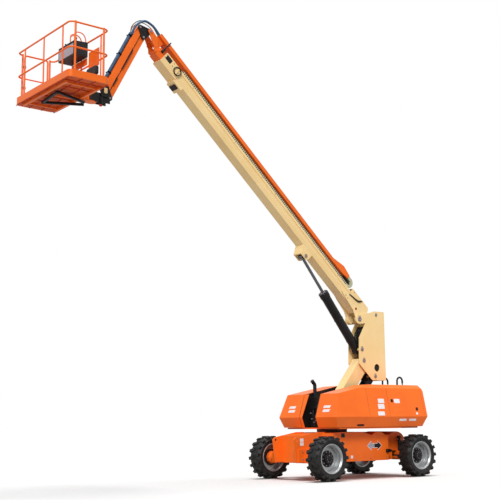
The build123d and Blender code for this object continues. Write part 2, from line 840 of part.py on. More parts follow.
# Upright
def make_upright():
    """Two side plates joined by cross members, carrying the link, cylinder and boom pins."""
    outline = [
        (timing_pin_x - boss_radius * 1.3, upright_bottom),
        (upright_link_x - boss_radius * 2.1, upright_link_z - boss_radius),
        (lift_foot_x - boss_radius, lift_foot_z + boss_radius * 3.7),
        (boom_pin_x + boom_ear_radius * 1.8, boom_pin_z - boom_ear_radius * 0.8),
        (boom_pin_x + boom_ear_radius * 0.2, boom_pin_z - boom_ear_radius * 0.98),
        (boom_pin_x - boom_ear_radius * 0.8, boom_pin_z + boom_ear_radius * 0.6),
        (boom_pin_x + boom_ear_radius * 2, upright_top - boom_ear_radius * 0.7),
        (boom_pin_x + boom_ear_radius * 4.4, upright_top),
        (upright_rear_x, upright_top),
        (upright_rear_x, upright_bottom),
    ]
    low, high = upright_half_width - upright_wall, upright_half_width
    plate = slab(outline, low, high) + rod_y(boom_pin_x, boom_pin_z, boom_ear_radius, low, high)
    hole = rod_y(timing_pin_x + boss_radius, timing_pin_z + boss_radius * 2.8, boss_radius * 1.25, 0, high * 2)
    plate -= hole
    upright = plate + mirrored(plate)
    back = block(
        upright_rear_x - upright_wall, upright_rear_x, -low, low,
        upright_bottom, upright_top - boom_ear_radius * 3)
    upright += back
    pins = (
        (upright_link_x, upright_link_z, link_pin_radius),
        (timing_pin_x, timing_pin_z, link_pin_radius),
        (lift_foot_x, lift_foot_z, lift_pin_radius),
    )
    for x, z, radius in pins:
        upright += rod_y(x, z, radius, -high - upright_wall / 2, high + upright_wall / 2)
    for side in (-1, 1):
        near, far = sorted((side * (boom_side_half - sleeve_reach), side * (high + upright_wall / 2)))
        upright += rod_y(boom_pin_x, boom_pin_z, boom_pin_radius, near, far)
    return upright


# Boom
boom_along = (-cos(radians(boom_angle)), sin(radians(boom_angle)))
boom_frame = pin_frame(
    (boom_pin_x, boom_pin_z),
    (boom_pin_x + boom_along[0] * boom_length, boom_pin_z + boom_along[1] * boom_length))
mid_inset = boom_wall + mid_gap
fly_inset = mid_inset + mid_wall + fly_gap
fly_half = boom_side_half - fly_inset
fly_top = boom_high - fly_inset
fly_nose_back = mid_nose + side_fit * 5


def section_face(inset):
    """Boom cross-section with a narrow floor and leaning lower sides, shrunk by an inset."""
    half = [(boom_floor_half, boom_low), (boom_side_half, boom_knee), (boom_side_half, boom_high)]
    face = make_face(Polyline(*half, *[(-y, z) for y, z in reversed(half)], close=True))
    return offset(face, -inset, kind=Kind.INTERSECTION) if inset else face


def boom_tube(inset, wall, start, end):
    """Tube of the boom section between two places along the boom."""
    ring = section_face(inset) - section_face(inset + wall)
    plane = Plane(origin=(start, 0, 0), x_dir=(0, 1, 0), z_dir=(1, 0, 0))
    return extrude(plane * ring, end - start)


def slide_pads(inset, gap, start, inward):
    """Four wear pads in the gap round a tube, seated on it or on the tube outside."""
    thick = gap - seat_gap
    out = (gap - seat_gap) / 2 if inward else (gap + seat_gap) / 2
    half_w = boom_side_half - inset + out
    side_z = (boom_knee + boom_high - inset) / 2
    x = start + pad_length / 2
    pads = [
        Pos(x, 0, boom_low + inset - out) * Box(pad_length, boom_floor_half, thick),
        Pos(x, 0, boom_high - inset + out) * Box(pad_length, boom_floor_half, thick),
    ]
    for side in (-1, 1):
        pads.append(Pos(x, side * half_w, side_z) * Box(pad_length, thick, (boom_high - boom_knee) / 2))
    return pads


def lift_bracket():
    """Housing below the base boom that holds the pin of the lift cylinder."""
    reach = lift_eye_radius * 2
    outline = [
        (lift_pin_s - reach * 1.1, boom_low + boom_wall / 2), (lift_pin_s - reach, lift_pin_n),
        (lift_pin_s - reach / 2, lift_pin_n - lift_eye_radius), (lift_pin_s + reach, lift_pin_n - lift_eye_radius),
        (lift_pin_s + reach * 2, boom_low + boom_wall / 2),
    ]
    inner = lift_eye_width / 2 + lift_bracket_gap
    outer = inner + lift_bracket_wall
    body = slab([
        (lift_pin_s + reach, lift_pin_n - lift_eye_radius),
        (lift_pin_s + reach + lift_bracket_wall, lift_pin_n - lift_eye_radius),
        (lift_pin_s + reach * 2, boom_low + boom_wall / 2),
        (lift_pin_s + reach * 1.7, boom_low + boom_wall / 2)], -outer, outer)
    for side in (-1, 1):
        low, high = sorted((side * inner, side * outer))
        body += slab(outline, low, high)
        low, high = sorted((side * outer, side * (outer + lift_bracket_wall / 2)))
        body += rod_y(lift_pin_s, lift_pin_n, lift_pin_radius, low, high)
    return body


def tail_plates():
    """Plates outside the base boom that carry its pin sleeves, with a roof between them."""
    outline = [
        (tail_low_s, boom_knee - boom_wall * 5), (tail_front_s, boom_low), (tail_radius * 3, boom_low / 2),
        (tail_radius, -tail_radius / 2), (-tail_radius / 2, -tail_radius / 2), (-tail_back, tail_radius / 2),
        (-tail_back, tail_top - lip_depth), (-tail_back + lip_depth, tail_top), (tail_front_s, tail_top),
        (tail_front_s, boom_high), (tail_low_s, boom_knee),
    ]
    body = block(
        -tail_back + lip_depth, tail_front_s, -boom_side_half, boom_side_half, tail_top - tail_roof_wall, tail_top)
    for side in (-1, 1):
        low, high = sorted((side * (boom_side_half - boom_wall / 2), side * (boom_side_half + tail_plate_wall)))
        near, far = sorted((side * (boom_side_half - sleeve_reach), side * (boom_side_half + tail_plate_wall)))
        body += slab(outline, low, high)
        body += rod_y(0, 0, tail_radius, near, far)
    return body - rod_y(0, 0, boom_pin_radius + pin_fit, -boom_side_half * 2, boom_side_half * 2)


def make_boom_base():
    """Base boom tube with side lips, nose collar, lift bracket and tail plates."""
    body = boom_tube(0, boom_wall, boom_start, boom_length)
    collar_s = boom_length - collar_length
    for side in (-1, 1):
        low, high = sorted((side * (boom_side_half - boom_wall / 2), side * (boom_side_half + lip_width)))
        body += block(tail_front_s, collar_s, low, high, boom_high - lip_depth, boom_high)
    body += boom_tube(-collar_wall, collar_wall + boom_wall / 2, collar_s, boom_length)
    body += block(
        collar_s - pad_block_length, collar_s, -boom_floor_half, boom_floor_half,
        boom_low - pad_block_depth, boom_low + boom_wall / 2)
    body += slide_pads(mid_inset, mid_gap, boom_length - pad_length, False)
    middle = (boom_knee + boom_high) / 2
    window_s = boom_length - window_set_back
    body -= block(
        window_s - window_length / 2, window_s + window_length / 2, -boom_side_half * 2, boom_side_half * 2,
        middle - window_height / 2, middle + window_height / 2)
    return boom_frame * (body + lift_bracket() + tail_plates())


def make_boom_mid():
    """Middle boom tube with wear pads at its tail and nose."""
    body = boom_tube(mid_inset, mid_wall, mid_tail, mid_nose)
    body += slide_pads(mid_inset, mid_gap, mid_tail, True)
    body += slide_pads(fly_inset, fly_gap, mid_nose - pad_length, False)
    return boom_frame * body


def make_boom_fly():
    """Fly boom tube with a nose knuckle for the jib pivot."""
    body = boom_tube(fly_inset, fly_wall, fly_tail, fly_nose)
    body += slide_pads(fly_inset, fly_gap, fly_tail, True)
    nose = [
        (fly_nose_back, boom_low + fly_inset),
        (fly_nose, boom_low + fly_inset),
        (fly_chin_s, fly_chin_n),
        (knuckle_s + jib_boss_radius, knuckle_n - jib_boss_radius / 2),
        (knuckle_s + jib_boss_radius / 2, knuckle_n + jib_boss_radius),
        (knuckle_s - jib_boss_radius, knuckle_n + jib_boss_radius),
        (fly_brow_s, fly_brow_n),
        (fly_nose, fly_top),
        (fly_nose_back, fly_top),
    ]
    for side in (-1, 1):
        low, high = sorted((side * (fly_half - head_wall), side * fly_half))
        body += slab(nose, low, high)
    body += rod_y(knuckle_s, knuckle_n, jib_pin_radius, -fly_half - head_wall / 2, fly_half + head_wall / 2)
    return boom_frame * body


# Cylinders
def cylinder_barrel(length, radius, head_radius, head_length, eye_radius, eye_width, bore, rod_bore):
    """Barrel along x from its foot pin, with a clevis eye, a bolted head and a bore for its rod."""
    barrel = rod_x(eye_radius * 0.6, length, 0, 0, radius)
    barrel += rod_x(length - head_length, length, 0, 0, head_radius)
    barrel += rod_y(0, 0, eye_radius, -eye_width / 2, eye_width / 2)
    barrel -= rod_y(0, 0, bore, -eye_width, eye_width)
    barrel -= rod_x(eye_radius * 3, length + overrun, 0, 0, rod_bore)
    return barrel


def cylinder_rod(start, end, radius, eye_radius, eye_width, bore):
    """Rod along x inside its barrel, with an eye at its outer end."""
    rod = rod_x(start, end, 0, 0, radius)
    rod += rod_y(end, 0, eye_radius, -eye_width / 2, eye_width / 2)
    return rod - rod_y(end, 0, bore, -eye_width, eye_width)


lift_foot = (lift_foot_x, lift_foot_z)
lift_pin = to_world(boom_frame, lift_pin_s, lift_pin_n)
lift_frame = pin_frame(lift_foot, lift_pin)
lift_length = hypot(lift_pin[0] - lift_foot[0], lift_pin[1] - lift_foot[1])


def make_lift_barrel():
    return lift_frame * cylinder_barrel(
        lift_barrel_length, lift_barrel_radius, lift_head_radius, lift_head_length,
        lift_barrel_radius, lift_eye_width, lift_pin_radius + pin_fit, lift_rod_radius + pin_fit)


def make_lift_rod():
    return lift_frame * cylinder_rod(
        lift_eye_radius * 12, lift_length, lift_rod_radius, lift_eye_radius, lift_eye_width,
        lift_pin_radius + pin_fit)


tower_foot = (tower_foot_x, tower_foot_z)
tower_head = to_world(link_frame, link_length * tower_head_share, -tower_head_drop)
tower_frame = pin_frame(tower_foot, tower_head)
tower_length = hypot(tower_head[0] - tower_foot[0], tower_head[1] - tower_foot[1])


def make_tower_barrel():
    return tower_frame * cylinder_barrel(
        tower_barrel_length, tower_barrel_radius, tower_barrel_radius * 1.2, tower_barrel_radius * 1.5,
        tower_eye_radius, tower_eye_width, tower_pin_radius + pin_fit, tower_rod_radius + pin_fit)


def make_tower_rod():
    return tower_frame * cylinder_rod(
        tower_rod_start, tower_length, tower_rod_radius, tower_eye_radius, tower_eye_width,
        tower_pin_radius + pin_fit)


# Power track
def track_side():
    """Y range of the power track in the boom's own frame."""
    middle = -track_line_y
    return middle - track_width_y / 2, middle + track_width_y / 2


def make_power_track():
    """Lower run on the boom top, the loop at its rear end and the run that enters the tray."""
    low, high = track_side()
    base = boom_high + seat_gap
    centre = base + track_loop_radius
    top = centre + track_loop_radius
    run = block(track_rear_s, track_front_s, low, high, base, base + track_link_height)
    loop = rod_y(track_rear_s, centre, track_loop_radius, low, high)
    loop -= rod_y(track_rear_s, centre, track_loop_radius - track_link_height, low - overrun, high + overrun)
    loop -= block(
        track_rear_s, track_rear_s + track_loop_radius * 2, low - overrun, high + overrun,
        base - overrun, top + overrun)
    channel = tray_rise + tray_wall + seat_gap
    upper = slab([
        (track_rear_s, top - track_link_height), (tray_shoulder_s, top - track_link_height),
        (tray_bend_s, channel), (tray_bend_s, channel + track_link_height),
        (tray_shoulder_s, top), (track_rear_s, top)], low, high)
    return boom_frame * (run + loop + upper)


def make_tray():
    """Channel over the power track, carried by the fly boom at its front end."""
    low, high = track_side()
    wide_low, wide_high = low - tray_clearance - tray_wall, high + tray_clearance + tray_wall
    top = tray_rise + tray_side
    belly = [
        (tray_front_s, tray_rise), (tray_bend_s, tray_rise),
        (tray_belly_s, tray_belly_n), (tray_rear_s, tray_rear_low_n),
    ]
    side = belly + [
        (tray_rear_s, tray_rear_high_n), (tray_shoulder_s, tray_shoulder_n), (tray_bend_s, top), (tray_front_s, top)]
    floor = belly + [(s, n + tray_wall) for s, n in reversed(belly)]
    tray = slab(floor, wide_low, wide_high)
    tray += slab(side, wide_low, wide_low + tray_wall)
    tray += slab(side, wide_high - tray_wall, wide_high)
    foot = block(
        fly_nose_back, tray_front_s, wide_low, fly_half - head_wall - side_fit, fly_top, tray_rise + tray_wall / 2)
    band = block(
        tray_bend_s + side_fit, tray_front_s, low, high, tray_rise + tray_wall / 2, tray_rise + track_link_height)
    return boom_frame * (tray + foot + band)


# Jib
knuckle = to_world(boom_frame, knuckle_s, knuckle_n)
jib_pivot = to_world(boom_frame, jib_pivot_s, jib_pivot_n)
jib_along = (-cos(radians(jib_angle)), -sin(radians(jib_angle)))
jib_end = (jib_pivot[0] + jib_along[0] * jib_length, jib_pivot[1] + jib_along[1] * jib_length)
jib_frame = pin_frame(jib_pivot, jib_end)
jib_low_pivot = to_world(jib_frame, jib_link_offset_s, jib_link_offset_n)
jib_low_end = to_world(jib_frame, jib_length + jib_link_offset_s, jib_link_offset_n)
rotator_x = jib_end[0] - rotator_reach
rotator_z = jib_end[1] - rotator_drop
level_half = fly_half - head_wall - jib_side_fit
jib_half = level_half - head_wall - jib_side_fit
jib_low_half = jib_half - jib_wall - jib_link_inset


def link_bar(start, end, radius, y_low, y_high):
    """Flat bar with round ends between two (x, z) places."""
    length = hypot(end[0] - start[0], end[1] - start[1])
    low, high = (-y_high, -y_low) if end[0] < start[0] else (y_low, y_high)
    bar = block(0, length, low, high, -radius, radius)
    bar += rod_y(0, 0, radius, low, high)
    bar += rod_y(length, 0, radius, low, high)
    return pin_frame(start, end) * bar


def make_level_bracket():
    """Levelled bracket on the fly nose with a cheek on each side of both jib links."""
    bracket = None
    for side in (-1, 1):
        low, high = sorted((side * (level_half - head_wall), side * level_half))
        cheek = link_bar(knuckle, jib_pivot, jib_boss_radius, low, high)
        cheek += link_bar(knuckle, jib_low_pivot, jib_boss_radius, low, high)
        cheek += link_bar(jib_pivot, jib_low_pivot, jib_boss_radius, low, high)
        bracket = cheek if bracket is None else bracket + cheek
    bracket += rod_y(knuckle[0], knuckle[1], jib_boss_radius, -level_half, level_half)
    bracket -= rod_y(knuckle[0], knuckle[1], jib_pin_radius + pin_fit, -fly_half * 2, fly_half * 2)
    for place in (jib_pivot, jib_low_pivot):
        bracket += rod_y(place[0], place[1], jib_pin_radius, -level_half, level_half)
    return bracket


def make_jib_upper():
    """Upper jib arm, a channel open on its lower side, with a sleeve at each end."""
    arm = block(0, jib_length, -jib_half, jib_half, -jib_arm_low, jib_arm_high)
    inner = jib_half - jib_wall
    arm -= block(-overrun, jib_length + overrun, -inner, inner, -jib_arm_low - overrun, jib_arm_high - jib_wall)
    for x in (0, jib_length):
        arm += rod_y(x, 0, jib_sleeve_radius, -jib_half, jib_half)
        arm -= rod_y(x, 0, jib_pin_radius + pin_fit, -jib_half * 2, jib_half * 2)
    return jib_frame * arm


def make_jib_lower():
    """Lower jib link, a box arm narrow enough to fold into the upper one."""
    radius = jib_link_depth / 2
    link = block(0, jib_length, -jib_low_half, jib_low_half, -radius, radius)
    for x in (0, jib_length):
        link += rod_y(x, 0, radius, -jib_low_half, jib_low_half)
        link -= rod_y(x, 0, jib_pin_radius + pin_fit, -jib_low_half * 2, jib_low_half * 2)
    return pin_frame(jib_low_pivot, jib_low_end) * link


def make_jib_head():
    """Level head with cheeks on both links and the rotator body."""
    low_z, high_z = rotator_z - rotator_height / 2, rotator_z + rotator_height / 2
    head = rod_z(rotator_x, 0, rotator_radius, low_z, high_z)
    head += block(rotator_x, rotator_x + rotator_radius + head_wall, -level_half, level_half, low_z, high_z)
    for side in (-1, 1):
        low, high = sorted((side * (level_half - head_wall), side * level_half))
        head += link_bar(jib_end, jib_low_end, jib_boss_radius, low, high)
        head += block(rotator_x + rotator_radius, jib_low_end[0], low, high, low_z, high_z)
    for place in (jib_end, jib_low_end):
        head += rod_y(place[0], place[1], jib_pin_radius, -level_half, level_half)
    return head


# Platform
platform_x = rotator_x - platform_reach
floor_low = rotator_z - platform_drop
gate_x = platform_x
gate_hinge_x = gate_x - gate_width / 2


def rounded_plate(shrink, z_low, z_high):
    """Plate of the platform's rounded plan."""
    corner = max(platform_corner - shrink, floor_wall)
    face = RectangleRounded(platform_width - 2 * shrink, platform_length - 2 * shrink, corner)
    return extrude(Pos(platform_x, 0, z_low) * face, z_high - z_low)


def make_platform():
    """Floor, toe board and tube support, with the arm to the rotator."""
    platform = rounded_plate(0, floor_low, floor_low + toe_height)
    platform -= rounded_plate(toe_wall, floor_low + floor_wall, floor_low + toe_height + overrun)
    low_z, high_z = rotator_z - rotator_height / 2 - seat_gap, rotator_z + rotator_height / 2 + seat_gap
    edge = platform_x + platform_width / 2
    clear_x = rotator_x - rotator_radius - jib_side_fit
    for base in (low_z - rotator_flange_wall, high_z):
        platform += rod_z(rotator_x, 0, rotator_radius, base, base + rotator_flange_wall)
        platform += block(edge, rotator_x, -rotator_radius, rotator_radius, base, base + rotator_flange_wall)
    platform += block(
        edge, clear_x, -rotator_radius, rotator_radius, low_z - rotator_flange_wall, high_z + rotator_flange_wall)
    reach_x, reach_y = support_reach_share * platform_width, support_reach_share * platform_length
    long_low, cross_low = floor_low - support_tube, floor_low - support_cross_tube
    for side in (-1, 1):
        x = platform_x + side * reach_x
        platform += block(x - support_tube / 2, x + support_tube / 2, -reach_y, reach_y, long_low, floor_low)
        y = side * support_cross_share * platform_length
        platform += block(
            platform_x - reach_x, platform_x + reach_x, y - support_cross_tube / 2, y + support_cross_tube / 2,
            cross_low, floor_low)
    platform += block(
        platform_x - reach_x, edge + support_tube / 2, -support_cross_tube / 2, support_cross_tube / 2,
        cross_low, floor_low)
    margin = rail_inset + gate_post_radius + floor_panel_margin
    deck = floor_low + floor_wall
    return platform + rounded_plate(margin, deck - floor_panel_wall, deck + floor_panel_wall)


def rail_ring(height):
    """Rail round the platform at a height, open where the gate stands."""
    wire = Pos(platform_x, 0, floor_low + height) * RectangleRounded(
        platform_width - 2 * rail_inset, platform_length - 2 * rail_inset, platform_corner)
    path = wire.wire()
    ring = sweep(Plane(origin=path @ 0, z_dir=path % 0) * Circle(rail_radius), path=path)
    return ring - block(
        gate_x - gate_post_offset, gate_x + gate_post_offset, gate_line_y - overrun, gate_line_y + overrun,
        floor_low, floor_low + rail_top + overrun)


def hinge_heights():
    """Heights of the two gate hinges."""
    span = rail_top - gate_bottom
    return [floor_low + gate_bottom + span * share for share in gate_hinge_shares]


def make_rails():
    """Top and middle rails with their posts and the collars that hold the gate."""
    rails = rail_ring(rail_top) + rail_ring(rail_mid)
    half_w = platform_width / 2 - rail_inset
    for x_side in (-1, 1):
        for share in post_y_shares:
            rails += rod_z(
                platform_x + x_side * half_w, share * platform_length, post_radius,
                floor_low + floor_wall, floor_low + rail_top)
        for y in (-gate_line_y, gate_line_y):
            rails += rod_z(
                gate_x + x_side * gate_post_offset, y, gate_post_radius,
                floor_low + floor_wall, floor_low + rail_top + gate_post_radius)
    for z in hinge_heights():
        collar = rod_z(gate_hinge_x, gate_line_y, gate_collar_radius, z, z + gate_collar_height)
        collar += block(
            gate_x - gate_post_offset, gate_hinge_x, gate_line_y - rail_radius / 2, gate_line_y + rail_radius / 2,
            z, z + gate_collar_height)
        rails += collar
    rails -= rod_z(gate_hinge_x, gate_line_y, rail_radius + pin_fit, floor_low, floor_low + rail_top)
    return rails


def make_gate():
    """Gate frame in the far short end, turning on its own hinge tube."""
    half = gate_width / 2
    z_low, z_high = floor_low + gate_bottom, floor_low + rail_top
    points = (
        (gate_x - half, gate_line_y, z_low), (gate_x + half, gate_line_y, z_low),
        (gate_x + half, gate_line_y, z_high), (gate_x - half, gate_line_y, z_high),
    )
    path = FilletPolyline(*points, radius=platform_corner / 2, close=True)
    ring = sweep(Plane(origin=path @ 0, z_dir=path % 0) * Circle(rail_radius), path=path)
    return ring + rod_x(gate_x - half, gate_x + half, gate_line_y, floor_low + rail_mid, rail_radius * gate_bar_share)


def make_console():
    """Control box on the rails nearest the boom."""
    depth, width, height = console_size
    x_high = platform_x + platform_width / 2 - rail_inset - post_radius - seat_gap
    return block(
        x_high - depth, x_high, -width / 2, width / 2,
        floor_low + console_top - height, floor_low + console_top)


tyre = make_tyre()
nodes = {
    "chassis_frame": make_chassis(),
    "fixed_axle": make_fixed_axle(),
    "steer_axle": make_steer_axle(),
    "lock_cylinders": make_lock_cylinders(),
    "knuckle_right": make_knuckle(-1),
    "knuckle_left": make_knuckle(1),
    "steering_rod": make_steering_rod(),
    "turntable_frame": make_turntable(),
    "turntable_cowl": make_cowl(),
    "nose_panel": make_nose_panel(),
    "lifting_loops": make_loops(),
    "counterweight": make_counterweight(),
    "engine_block": make_engine(),
    "tanks": make_tanks(),
    "valve_block": make_valve_block(),
    "exhaust_pipe": make_exhaust(),
    "hood_right": make_hood(-1),
    "hood_left": make_hood(1),
    "tower_link": make_tower_link(),
    "timing_link": make_timing_link(),
    "tower_cylinder_barrel": make_tower_barrel(),
    "tower_cylinder_rod": make_tower_rod(),
    "upright": make_upright(),
    "boom_base": make_boom_base(),
    "boom_mid": make_boom_mid(),
    "boom_fly": make_boom_fly(),
    "power_track": make_power_track(),
    "track_tray": make_tray(),
    "lift_cylinder_barrel": make_lift_barrel(),
    "lift_cylinder_rod": make_lift_rod(),
    "level_bracket": make_level_bracket(),
    "jib_upper": make_jib_upper(),
    "jib_lower": make_jib_lower(),
    "jib_head": make_jib_head(),
    "platform_floor": make_platform(),
    "guard_rails": make_rails(),
    "platform_gate": make_gate(),
    "control_console": make_console(),
}
for name, x, side in WHEEL_PLACES:
    nodes["tyre_" + name] = Pos(x, side * wheel_y, tyre_radius) * tyre
    nodes["rim_" + name] = Pos(x, side * wheel_y, tyre_radius) * make_rim(side)

for name, shape in nodes.items():
    export_step(shape, f"parts/{name}.step")
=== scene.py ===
import json
import math

import bmesh
import bpy
import numpy as np
from mathutils import Matrix


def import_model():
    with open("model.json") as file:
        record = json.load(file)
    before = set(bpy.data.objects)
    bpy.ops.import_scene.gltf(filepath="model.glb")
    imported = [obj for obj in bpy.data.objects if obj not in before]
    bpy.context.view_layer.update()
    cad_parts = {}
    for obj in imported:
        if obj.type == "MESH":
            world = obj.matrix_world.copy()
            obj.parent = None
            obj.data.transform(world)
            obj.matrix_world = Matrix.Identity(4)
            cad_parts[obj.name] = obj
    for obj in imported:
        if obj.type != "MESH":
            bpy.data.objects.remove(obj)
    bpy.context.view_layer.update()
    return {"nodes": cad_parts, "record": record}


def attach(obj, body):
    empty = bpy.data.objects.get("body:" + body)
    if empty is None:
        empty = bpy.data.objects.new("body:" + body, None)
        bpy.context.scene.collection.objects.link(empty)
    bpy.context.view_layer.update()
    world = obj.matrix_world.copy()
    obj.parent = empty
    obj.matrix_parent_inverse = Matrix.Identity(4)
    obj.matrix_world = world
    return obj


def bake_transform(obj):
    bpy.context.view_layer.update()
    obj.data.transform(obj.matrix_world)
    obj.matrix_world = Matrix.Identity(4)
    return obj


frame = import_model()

PI = math.pi
MM = 0.001

# Camera, metres and degrees, solved from the photograph
CAMERA_PLACE = (-17.498, -18.778, 1.384)
CAMERA_YAW = 38.535
CAMERA_PITCH = 9.630
CAMERA_ROLL = -0.605
CAMERA_LENS = 72.97
SENSOR_WIDTH = 36.0


# Materials
def linear(hex_colour):
    """sRGB hex to linear RGBA: each channel by the sRGB curve."""
    channels = [int(hex_colour[i:i + 2], 16) / 255 for i in (1, 3, 5)]
    return tuple(c / 12.92 if c <= 0.04045 else ((c + 0.055) / 1.055) ** 2.4 for c in channels) + (1.0,)


def node(tree, kind, settings=None, links=None):
    """Adds one shader node with its settings and the sockets that feed it."""
    made = tree.nodes.new(kind)
    for name, value in (settings or {}).items():
        if isinstance(name, int) or name in made.inputs:
            made.inputs[name].default_value = value
        else:
            setattr(made, name, value)
    for name, source in (links or {}).items():
        tree.links.new(source, made.inputs[name])
    return made


def start_material(name):
    """Empty node material with its Principled shader and object coordinates."""
    material = bpy.data.materials.new(name)
    material.use_nodes = True
    tree = material.node_tree
    tree.nodes.clear()
    shader = node(tree, "ShaderNodeBsdfPrincipled")
    node(tree, "ShaderNodeOutputMaterial", links={"Surface": shader.outputs[0]})
    place = node(tree, "ShaderNodeTexCoord").outputs["Object"]
    return material, tree, shader, place


def noise(tree, place, size_mm, detail=3.0, roughness=0.5):
    """Noise whose grains are about size_mm across."""
    return node(
        tree, "ShaderNodeTexNoise", {"Scale": 1000.0 / size_mm, "Detail": detail, "Roughness": roughness},
        {"Vector": place}).outputs["Fac"]


def ramp(tree, source, low, high):
    """Takes low..high of a value to 0..1."""
    return node(
        tree, "ShaderNodeMapRange", {"From Min": low, "From Max": high, "clamp": True},
        {"Value": source}).outputs["Result"]


def mix_colour(tree, share, first, second):
    """Mixes two colours, each a hex string or a socket."""
    made = node(tree, "ShaderNodeMix", {"data_type": "RGBA"})
    tree.links.new(share, made.inputs[0])
    for index, colour in ((6, first), (7, second)):
        if isinstance(colour, str):
            made.inputs[index].default_value = linear(colour)
        else:
            tree.links.new(colour, made.inputs[index])
    return made.outputs[2]


def finish_bump(tree, shader, height, depth_mm, strength=0.5):
    """Bump of a real depth."""
    made = node(
        tree, "ShaderNodeBump", {"Strength": strength, "Distance": depth_mm * MM}, {"Height": height})
    tree.links.new(made.outputs["Normal"], shader.inputs["Normal"])


# Middle of a noise that makes the slow drift, its upper part that makes dust specks, and the specks' size
DRIFT, SPECK, SPECK_MM = (0.35, 0.65), (0.42, 0.75), 60.0


def surface(name, light, dark, patch_mm, grain_mm, grain_depth, rough, metallic=0.0, dust=None, dust_top=0.9,
            spread=0.06, specular=0.5):
    """Finish with slow colour drift, a fine grain bump, uneven gloss and dust that fades with height."""
    material, tree, shader, place = start_material(name)
    drift = ramp(tree, noise(tree, place, patch_mm, 4.0, 0.6), *DRIFT)
    colour = mix_colour(tree, drift, light, dark)
    if dust:
        height = node(tree, "ShaderNodeSeparateXYZ", links={"Vector": place}).outputs["Z"]
        low = ramp(tree, height, dust_top, 0.0)
        speck = ramp(tree, noise(tree, place, SPECK_MM, 6.0, 0.7), *SPECK)
        amount = node(
            tree, "ShaderNodeMath", {"operation": "MULTIPLY"}, {0: low, 1: speck}).outputs[0]
        colour = mix_colour(tree, amount, colour, dust)
    tree.links.new(colour, shader.inputs["Base Color"])
    gloss = node(
        tree, "ShaderNodeMapRange", {"To Min": rough - spread, "To Max": rough + spread},
        {"Value": noise(tree, place, patch_mm / 3, 3.0, 0.6)}).outputs["Result"]
    tree.links.new(gloss, shader.inputs["Roughness"])
    shader.inputs["Metallic"].default_value = metallic
    shader.inputs["Specular IOR Level"].default_value = specular
    finish_bump(tree, shader, noise(tree, place, grain_mm, 2.0, 0.5), grain_depth)
    return material


# Alkyd machine enamel sprayed on steel: soft gloss with a faint orange peel, drawn at 14 mm so that it shows
ORANGE = surface("orange_enamel", "#F5701E", "#EC691B", 900, 14, 0.05, 0.40, specular=0.28)
# The same enamel in cream on the boom and upright
CREAM = surface("cream_enamel", "#F8DAA0", "#F1CF90", 900, 14, 0.05, 0.40, specular=0.28)
# Semi-gloss black enamel sprayed on brackets and cylinders, with a slight drift to brown
BLACK = surface("black_enamel", "#121112", "#1B1919", 300, 10, 0.05, 0.45, specular=0.22)
# Natural and carbon-black rubber, moulded: dull, with dust specks low down
RUBBER = surface("tyre_rubber", "#0E0E0F", "#171616", 120, 5, 0.4, 0.58, dust="#38332F", specular=0.3)
# Aluminium-flake enamel on the wheels
SILVER = surface("silver_enamel", "#AFB1B2", "#9B9D9E", 200, 6, 0.05, 0.34, metallic=0.55)
# Grey iron casting under the same orange enamel, with a sand-cast texture
CASTING = surface("orange_casting", "#EE6A1E", "#E0601A", 700, 18, 0.5, 0.50, specular=0.25)
# Cast engine block painted dull black: the sand-cast grain shows through the paint
ENGINE = surface("engine_black", "#1A1918", "#262322", 150, 12, 0.6, 0.55, specular=0.2)
# Polyethylene tank, rotation moulded: waxy black
TANK = surface("tank_polyethylene", "#151515", "#1E1E1E", 300, 20, 0.3, 0.5, specular=0.2)
# Glass-filled nylon links of the power track, weathered grey-green
NYLON = surface("track_nylon", "#C6C3A4", "#B3B092", 180, 9, 0.2, 0.55, specular=0.3)
# ABS of the console, moulded with a fine texture that breaks the shine
ABS = surface("console_abs", "#2A2B2E", "#222326", 200, 4, 0.3, 0.5, specular=0.2)
# Hard chrome on ground steel rods, filmed with oil: a dark mirror with fine polishing scatter
CHROME = surface("hard_chrome", "#6E7074", "#606266", 300, 4, 0.03, 0.2, metallic=1.0, spread=0.03)
# Zinc-plated steel of bolts and pins, slightly yellowed
STEEL = surface("zinc_steel", "#93878C", "#786E74", 60, 4, 0.05, 0.36, metallic=0.6, spread=0.05)
# Nitrile rubber hose, extruded: dull black with a fine grain
HOSE = surface("hose_rubber", "#151517", "#1E1E20", 90, 3, 0.15, 0.55, specular=0.25)
# Polyamide sleeve, extruded and corrugated: blue, with a soft shine on its ribs
SLEEVE = surface("polyamide_sleeve", "#3C6285", "#2C4C6A", 120, 4, 0.1, 0.38, specular=0.4)
# Drawn brass tube: a warm metal shine, dulled by the weather
BRASS = surface("brass_tube", "#A5713A", "#8C5C2C", 60, 4, 0.05, 0.32, metallic=0.8, spread=0.05)
# Blank vinyl labels, slightly off white
LABEL = surface("blank_vinyl", "#E9E6E8", "#DEDADD", 200, 4, 0.02, 0.4, specular=0.3)
# Grey vinyl of the direction arrow and light grey panels
GREY_MARK = surface("grey_vinyl", "#A9A3AD", "#9C97A1", 200, 5, 0.03, 0.45, specular=0.3)
# Cast nylon of the wear pads: dull and dark, with a coarse grain
NYLON_DARK = surface("wear_pad_nylon", "#33242A", "#281D22", 90, 6, 0.2, 0.5, specular=0.2)
# Red enamel of the stop button, the boom rings and the foot tip
RED = surface("red_enamel", "#D23A20", "#BE321B", 120, 6, 0.05, 0.4, specular=0.25)
# The orange enamel under the floor, painted darker as shade where little light reaches
SHADED_ORANGE = surface("orange_enamel_painted_shade", "#C8451A", "#B23A16", 400, 14, 0.1, 0.45, specular=0.2)

SLOT_FINISH = {
    "orange_paint": ORANGE, "cream_paint": CREAM, "black_paint": BLACK, "silver_paint": SILVER,
    "tyre_rubber": RUBBER, "cast_weight": CASTING, "engine_alloy": ENGINE, "tank_plastic": TANK,
    "track_plastic": NYLON, "console_plastic": ABS, "chrome_rod": CHROME,
}


